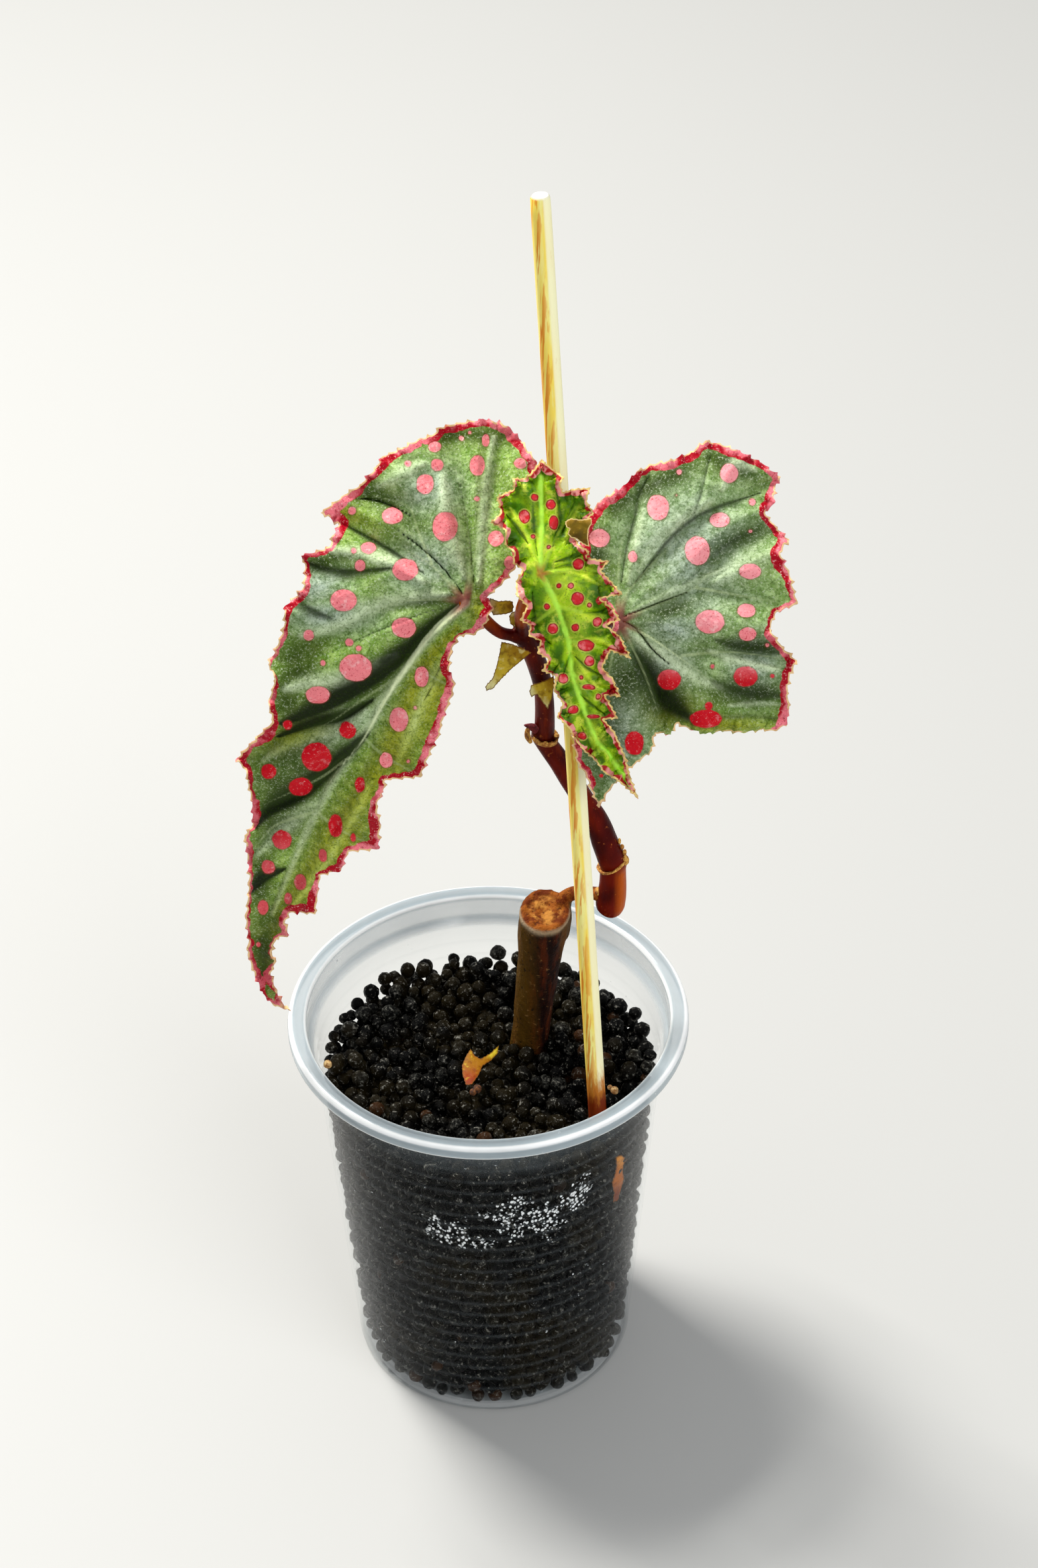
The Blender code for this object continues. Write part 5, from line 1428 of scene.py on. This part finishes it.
def make_cane():
    """Woody stem with a slanted, callused cut and its side branch."""
    cane = rod("old_cane", cane_path(), 14)
    cut = Vector((0.0, -math.sin(CANE_CUT_TILT), math.cos(CANE_CUT_TILT)))
    cut_off(cane, CANE_TOP, cut)
    cane = join([cane, rod("cane branch", stem_path(CANE_BRANCH_LINE, 8), 8)])
    one_skin(cane, 0.25 * MM, 3)
    roughen(cane, 0.26 * MM, 1.9 * MM, 0.35)
    corners = corners_of(cane)
    over = (corners - np.array(CANE_TOP)) @ np.array(cut)
    spread = np.hypot(corners[:, 0] - CANE_TOP.x, corners[:, 1] - CANE_TOP.y)
    face = ramp(over, -0.45 * MM, 0.3 * MM) * (spread < CUT_REACH)
    dish = 0.3 * MM * np.exp(-((spread - 3.7 * MM) / (0.6 * MM)) ** 2)
    dish -= 0.45 * MM * np.exp(-(spread / (1.3 * MM)) ** 2)
    dish += 0.16 * MM * unevenness(corners, 0.9 * MM, 4.0)
    corners += (face * dish * (corners[:, 2] < BRANCH_HEIGHT))[:, None] * np.array(cut)
    put_corners(cane, corners)
    x, y, z = corners.T
    bare = face * ramp(spread, 4.5 * MM, -0.3 * MM)
    note_value(cane, "callus", np.maximum(bare, ramp(z, NECK_HEIGHT, 0.8 * MM)))
    note_value(cane, "heart", ramp(spread, 3.3 * MM, -0.9 * MM))
    rim = np.exp(-((over + 0.2 * MM) / (0.6 * MM)) ** 2) * (spread > 4.1 * MM)
    note_value(cane, "bark_rim", rim * (y < 5.5 * MM))
    note_value(cane, "olive", ramp(x, 9.6 * MM, -3 * MM) + 0.8 * ramp(x, 12.6 * MM, 1 * MM))
    settle(cane, "old_cane_bark", cane_finish(), ("old_cane",), 50)


def make_stake():
    """Round bamboo stick with fine grooves along it and a bevelled end."""
    direction = (STAKE_TOP - STAKE_ENTRY).normalized()
    length = (STAKE_TOP - STAKE_ENTRY).length
    pitch = direction * length / STAKE_STEPS
    path = [(STAKE_ENTRY + pitch * step, STAKE_RADIUS) for step in range(-3, STAKE_STEPS)]
    path.append((STAKE_TOP - direction * STAKE_BEVEL, STAKE_RADIUS - 0.05 * MM))
    path.append((STAKE_TOP, STAKE_RADIUS - STAKE_BEVEL))
    stake = rod("stake", path, 14)
    axis = np.array(direction)
    offset = corners_of(stake) - np.array(STAKE_ENTRY)
    along = offset @ axis
    radial = offset - along[:, None] * axis
    angle = np.arctan2(radial @ UPWARD, radial @ LEVEL)
    grooves = 1.0 - 0.02 * (1 + np.sin(17 * angle + 0.6 * np.sin(along / (30 * MM))))
    grooves -= 0.02 * (np.sin(7 * angle) > 0.6)
    corners = np.array(STAKE_ENTRY) + along[:, None] * axis + radial * grooves[:, None]
    put_corners(stake, np.minimum(corners, np.array(cad_high)))
    # high on the shaded left, low on the right where the painted highlight lies
    note_value(stake, "shaded_side", np.clip(0.62 - 0.6 * np.cos(angle + 0.3), 0.05, 1.0))
    note_value(stake, "stain", ramp(along, 11 * MM, -11 * MM))
    note_value(stake, "end", (along > length - 0.2 * MM).astype(float))
    settle(stake, "stake_bamboo", stake_finish(), ("stake",), 40)


def cup_profile():
    """Radius, height and milkiness of the cup's skin: up the outside, over the flange and down the inside.
    Milkiness above 0.6 also paints the skin white, as painted highlight lines along the flange's and neck's
    edges.
    """
    foot = [(FOOT_RADIUS - inward * MM, up * MM, milk_and_glint) for inward, up, milk_and_glint in FOOT_PROFILE]
    lip = [(RIM_RADIUS - inward * MM, CUP_HEIGHT - down * MM, milk_and_glint) for inward, down, milk_and_glint in LIP_PROFILE]
    profile = [(0.0, 0.9 * MM, 0.1), *foot, (body_radius(1.2 * MM), 1.2 * MM, 0.12)]
    for step in range(int((BODY_TOP - WALL_START) / RING_PITCH * RING_STEPS)):
        height = WALL_START + step * RING_PITCH / RING_STEPS
        ring = (0.5 + 0.5 * math.sin(2 * math.pi * height / RING_PITCH)) ** 10
        ring *= min(1.0, (BODY_TOP - height) / (6 * MM))
        milk_and_glint = 0.001 + 0.1 * max(0.0, (height - 64 * MM) / (7 * MM)) + 0.06 * ring
        profile.append((body_radius(height) - RING_HEIGHT * (1 - ring), height, milk_and_glint))
    neck = FLANGE_INNER + CUP_WALL
    profile += [(body_radius(BODY_TOP), BODY_TOP, 0.3), (neck - 0.1 * MM, BODY_TOP + 0.9 * MM, 0.5),
                (neck, BODY_TOP + 1.6 * MM, 0.3), (neck, CUP_HEIGHT - 1.3 * MM, 0.3),
                (neck + 0.3 * MM, CUP_HEIGHT - 0.8 * MM, 0.4), *lip,
                (FLANGE_INNER + 1.0 * MM, CUP_HEIGHT - 0.1 * MM, 0.45),
                (FLANGE_INNER + 0.45 * MM, CUP_HEIGHT - 0.2 * MM, 0.7),
                (FLANGE_INNER + 0.1 * MM, CUP_HEIGHT - 0.6 * MM, 0.8),
                (FLANGE_INNER, CUP_HEIGHT - 1.3 * MM, 0.25), (FLANGE_INNER, BODY_TOP + 1.7 * MM, 0.2),
                (FLANGE_INNER - 0.4 * MM, BODY_TOP + 1.0 * MM, 0.6)]
    for step in range(INSIDE_STEPS + 1):
        height = BODY_TOP - (BODY_TOP - WALL_START) * step / INSIDE_STEPS
        milk_and_glint = 0.001 + 0.05 * max(0.0, (height - 65 * MM) / (6 * MM))
        profile.append((body_radius(height) - CUP_WALL, height, milk_and_glint))
    profile += [(FOOT_RADIUS - 1.4 * MM, 1.0 * MM, 0.1), (FOOT_RADIUS - 3.2 * MM, 0.9 * MM, 0.1),
                (FOOT_RADIUS - 4.0 * MM, 1.6 * MM, 0.1), (0.0, 1.6 * MM, 0.1)]
    return profile


def make_cup():
    """The cup's profile spun about Z."""
    profile = cup_profile()
    edges = [(index, index + 1) for index in range(len(profile) - 1)]
    piece = mesh_piece("cup", [(radius, 0.0, height) for radius, height, milk_and_glint in profile], [],
                       {"milk_and_glint": [milk_and_glint for radius, height, milk_and_glint in profile]}, edges)
    take_up(piece)
    bpy.ops.object.mode_set(mode="EDIT")
    bpy.ops.mesh.select_all(action="SELECT")
    bpy.ops.mesh.spin(steps=CUP_STEPS, angle=2 * math.pi, center=(0, 0, 0), axis=(0, 0, 1))
    bpy.ops.mesh.select_all(action="SELECT")
    bpy.ops.mesh.remove_doubles(threshold=0.01 * MM)
    bpy.ops.mesh.normals_make_consistent(inside=False)
    bpy.ops.object.mode_set(mode="OBJECT")
    x, y, z = corners_of(piece).T
    angle = np.degrees(np.arctan2(y, x))
    wet = np.zeros(len(z))
    for middle, height, half_angle, half_height in WET_PATCHES:
        patch = np.exp(-((angle - middle) / half_angle) ** 2 - ((z / MM - height) / half_height) ** 2)
        wet = np.maximum(wet, patch)
    note_value(piece, "wet", wet)
    settle(piece, "cup_plastic", plastic_finish(), ("cup",), 50)


def heaped(x, y):
    """How far the soil rises above its level at each place."""
    away = (x - CANE_FOOT.x) ** 2 + (y - CANE_FOOT.y + 1.5 * MM) ** 2
    bank = ramp(np.hypot(x, y), 14 * MM, 11 * MM) * ramp(y, -13 * MM, 9 * MM)
    return np.maximum(HEAP_HEIGHT * np.exp(-away / HEAP_REACH ** 2), BANK_HEIGHT * bank)


def pack_grains():
    """Drop grains one by one into the lowest of a few places, so that they fill the cup as real ones lie."""
    draw = np.random.default_rng(GRAIN_SEED)
    placed = np.zeros((MOST_GRAINS, 4))
    count = 0
    stems = ((CANE_FOOT, CANE_TOP - CANE_FOOT, CANE_FOOT_RADIUS, 40 * MM),
             (STAKE_ENTRY, STAKE_TOP - STAKE_ENTRY, STAKE_RADIUS, 38 * MM))
    level = FLOOR_THICK + 1.2 * MM
    while count < MOST_GRAINS:
        radius = draw.uniform(GRAIN_SMALLEST, GRAIN_LARGEST)
        reach = body_radius(level) - CUP_WALL - 0.15 * MM - radius
        angle = draw.uniform(0, 2 * math.pi, PLACES_TRIED)
        spread = reach * np.sqrt(draw.uniform(0, 1.12, PLACES_TRIED)).clip(0, 1)
        x = spread * np.cos(angle)
        y = spread * np.sin(angle)
        near = placed[max(0, count - LAST_NEIGHBOURS):count]
        height = np.full(PLACES_TRIED, FLOOR_THICK + radius + 0.9 * MM)
        if len(near):
            apart = (x[:, None] - near[:, 0]) ** 2 + (y[:, None] - near[:, 1]) ** 2
            touch = (GRAIN_PRESS * (radius + near[:, 3])) ** 2 - apart
            rest = np.where(touch > 0, near[:, 2] + np.sqrt(np.maximum(touch, 0)), 0.0)
            height = np.maximum(height, rest.max(1))
        for foot, axis, thick, start in stems:
            at = (height - foot.z) / axis.z
            away = np.hypot(x - foot.x - at * axis.x, y - foot.y - at * axis.y)
            height = np.where((away < thick + radius) & (height > start), 1.0, height)
        heap = heaped(x, y)
        best = int(np.argmin(height - heap))
        level = height[best]
        if level - heap[best] > SOIL_LEVEL + 0.3 * MM:
            break
        placed[count] = (x[best], y[best], level, radius)
        count += 1
    return placed[:count]


def lumpy_grains(kinds=6):
    """A few lumpy grain shapes of unit size."""
    shapes = []
    for kind in range(kinds):
        deselect()
        bpy.ops.mesh.primitive_ico_sphere_add(subdivisions=2, radius=1.0)
        ball = bpy.context.view_layer.objects.active
        corners = corners_of(ball)
        lump = 1.0 + 0.14 * unevenness(corners, 0.8, 5.0 * kind + 3)
        faces = np.array([tuple(face.vertices) for face in ball.data.polygons])
        shapes.append((corners * lump[:, None], faces))
        bpy.data.objects.remove(ball)
    return shapes


def spread_grains(name, grains, shapes, material, stands_for=()):
    """One mesh of all these grains, each a turned and stretched copy of a shape."""
    draw = np.random.default_rng(len(grains))
    corners = []
    faces = []
    shades = []
    start = 0
    for x, y, z, radius in grains:
        shape, triangles = shapes[draw.integers(len(shapes))]
        turn = np.linalg.qr(draw.normal(size=(3, 3)))[0]
        turn *= np.sign(np.linalg.det(turn))
        size = radius * draw.uniform(0.93, 1.05, 3)
        corners.append((shape * size) @ turn.T + (x, y, z))
        faces.append(triangles + start)
        shades.append(np.full(len(shape), draw.uniform()))
        start += len(shape)
    piece = mesh_piece(name, np.vstack(corners), np.vstack(faces), {"shade": np.concatenate(shades)})
    settle(piece, name, material, stands_for, 180)


def make_soil():
    grains = pack_grains()
    shapes = lumpy_grains()
    material = grain_finish()
    away = np.array([body_radius(z) for z in grains[:, 2]]) - CUP_WALL - np.hypot(grains[:, 0], grains[:, 1])
    top = grains[:, 2] > SOIL_LEVEL - TOP_THICK
    wall = ~top & (away < SHELL_THICK)
    bottom = ~top & ~wall & (grains[:, 2] < 5.0 * MM)
    spread_grains("soil_top_grains", grains[top], shapes, material, ("substrate",))
    spread_grains("soil_wall_grains", grains[wall | bottom], shapes, material, ("substrate",))
    make_core(material)


def make_core(material):
    """The unseen middle of the soil, which closes the gaps between the shown grains."""
    deselect()
    bpy.ops.mesh.primitive_cone_add(
        vertices=72, radius1=body_radius(CORE_LOW) - CORE_GAP, radius2=body_radius(CORE_HIGH) - CORE_GAP,
        depth=CORE_HIGH - CORE_LOW, location=(0, 0, (CORE_LOW + CORE_HIGH) / 2))
    core = bpy.context.view_layer.objects.active
    bpy.ops.object.mode_set(mode="EDIT")
    bpy.ops.mesh.select_all(action="SELECT")
    bpy.ops.mesh.subdivide(number_cuts=3)
    bpy.ops.object.mode_set(mode="OBJECT")
    note_value(core, "shade", np.zeros(len(core.data.vertices)))
    settle(core, "soil_core", material, ("substrate",), 60)


def make_crumbs():
    """Pale and brown crumbs on the soil."""
    shapes = lumpy_grains(3)
    tan = crumb_finish("tan crumb", tone(226, 190, 130), tone(150, 100, 50))
    brown = crumb_finish("brown crumb", tone(112, 66, 26), tone(52, 26, 10))
    spread_grains("tan_crumbs", TAN_CRUMBS, shapes, tan)
    spread_grains("brown_crumbs", BROWN_CRUMBS, shapes, brown)


def make_stage():
    bpy.ops.mesh.primitive_plane_add(size=FLOOR_SIZE)
    floor = bpy.context.view_layer.objects.active
    floor.name = "floor"
    finish = Finish("pale floor")
    finish.set(Base_Color=FLOOR_COLOUR, Roughness=0.55)
    floor.data.materials.append(finish.material)


def make_camera():
    camera = bpy.data.cameras.new("camera")
    camera.lens = LENS
    camera.sensor_width = SENSOR
    camera.sensor_fit = "AUTO"
    camera.clip_start = 0.05
    camera.clip_end = 20.0
    holder = bpy.data.objects.new("camera", camera)
    axes = Matrix((Vector(ACROSS), Vector(UPWARD), Vector(-LOOKING))).transposed()
    holder.matrix_world = Matrix.Translation(Vector(VIEWPOINT)) @ axes.to_4x4()
    bpy.context.collection.objects.link(holder)
    bpy.context.scene.camera = holder


def add_lamp(name, place, size, power, colour):
    lamp = bpy.data.lights.new(name, "AREA")
    lamp.shape = "SQUARE"
    lamp.size = size
    lamp.energy = power
    lamp.color = colour
    holder = bpy.data.objects.new(name, lamp)
    turn = (Vector(LAMP_AIM) - Vector(place)).to_track_quat("-Z", "Y")
    holder.matrix_world = Matrix.Translation(Vector(place)) @ turn.to_matrix().to_4x4()
    bpy.context.collection.objects.link(holder)


def make_lights():
    for name, settings in LAMPS.items():
        add_lamp(name, *settings)
    world = bpy.data.worlds.new("studio")
    world.use_nodes = True
    sky = world.node_tree.nodes["Background"]
    sky.inputs["Color"].default_value = SKY_COLOUR
    sky.inputs["Strength"].default_value = SKY_STRENGTH
    bpy.context.scene.world = world
    bpy.context.scene.view_settings.view_transform = "Standard"


def main():
    deselect()
    make_camera()
    make_stage()
    make_lights()
    leaf = leaf_finish()
    make_left_leaf(leaf)
    make_right_leaf(leaf)
    make_young_leaf()
    make_scales()
    make_shoot()
    make_collars()
    make_cane()
    make_stake()
    make_soil()
    make_crumbs()
    make_cup()


main()
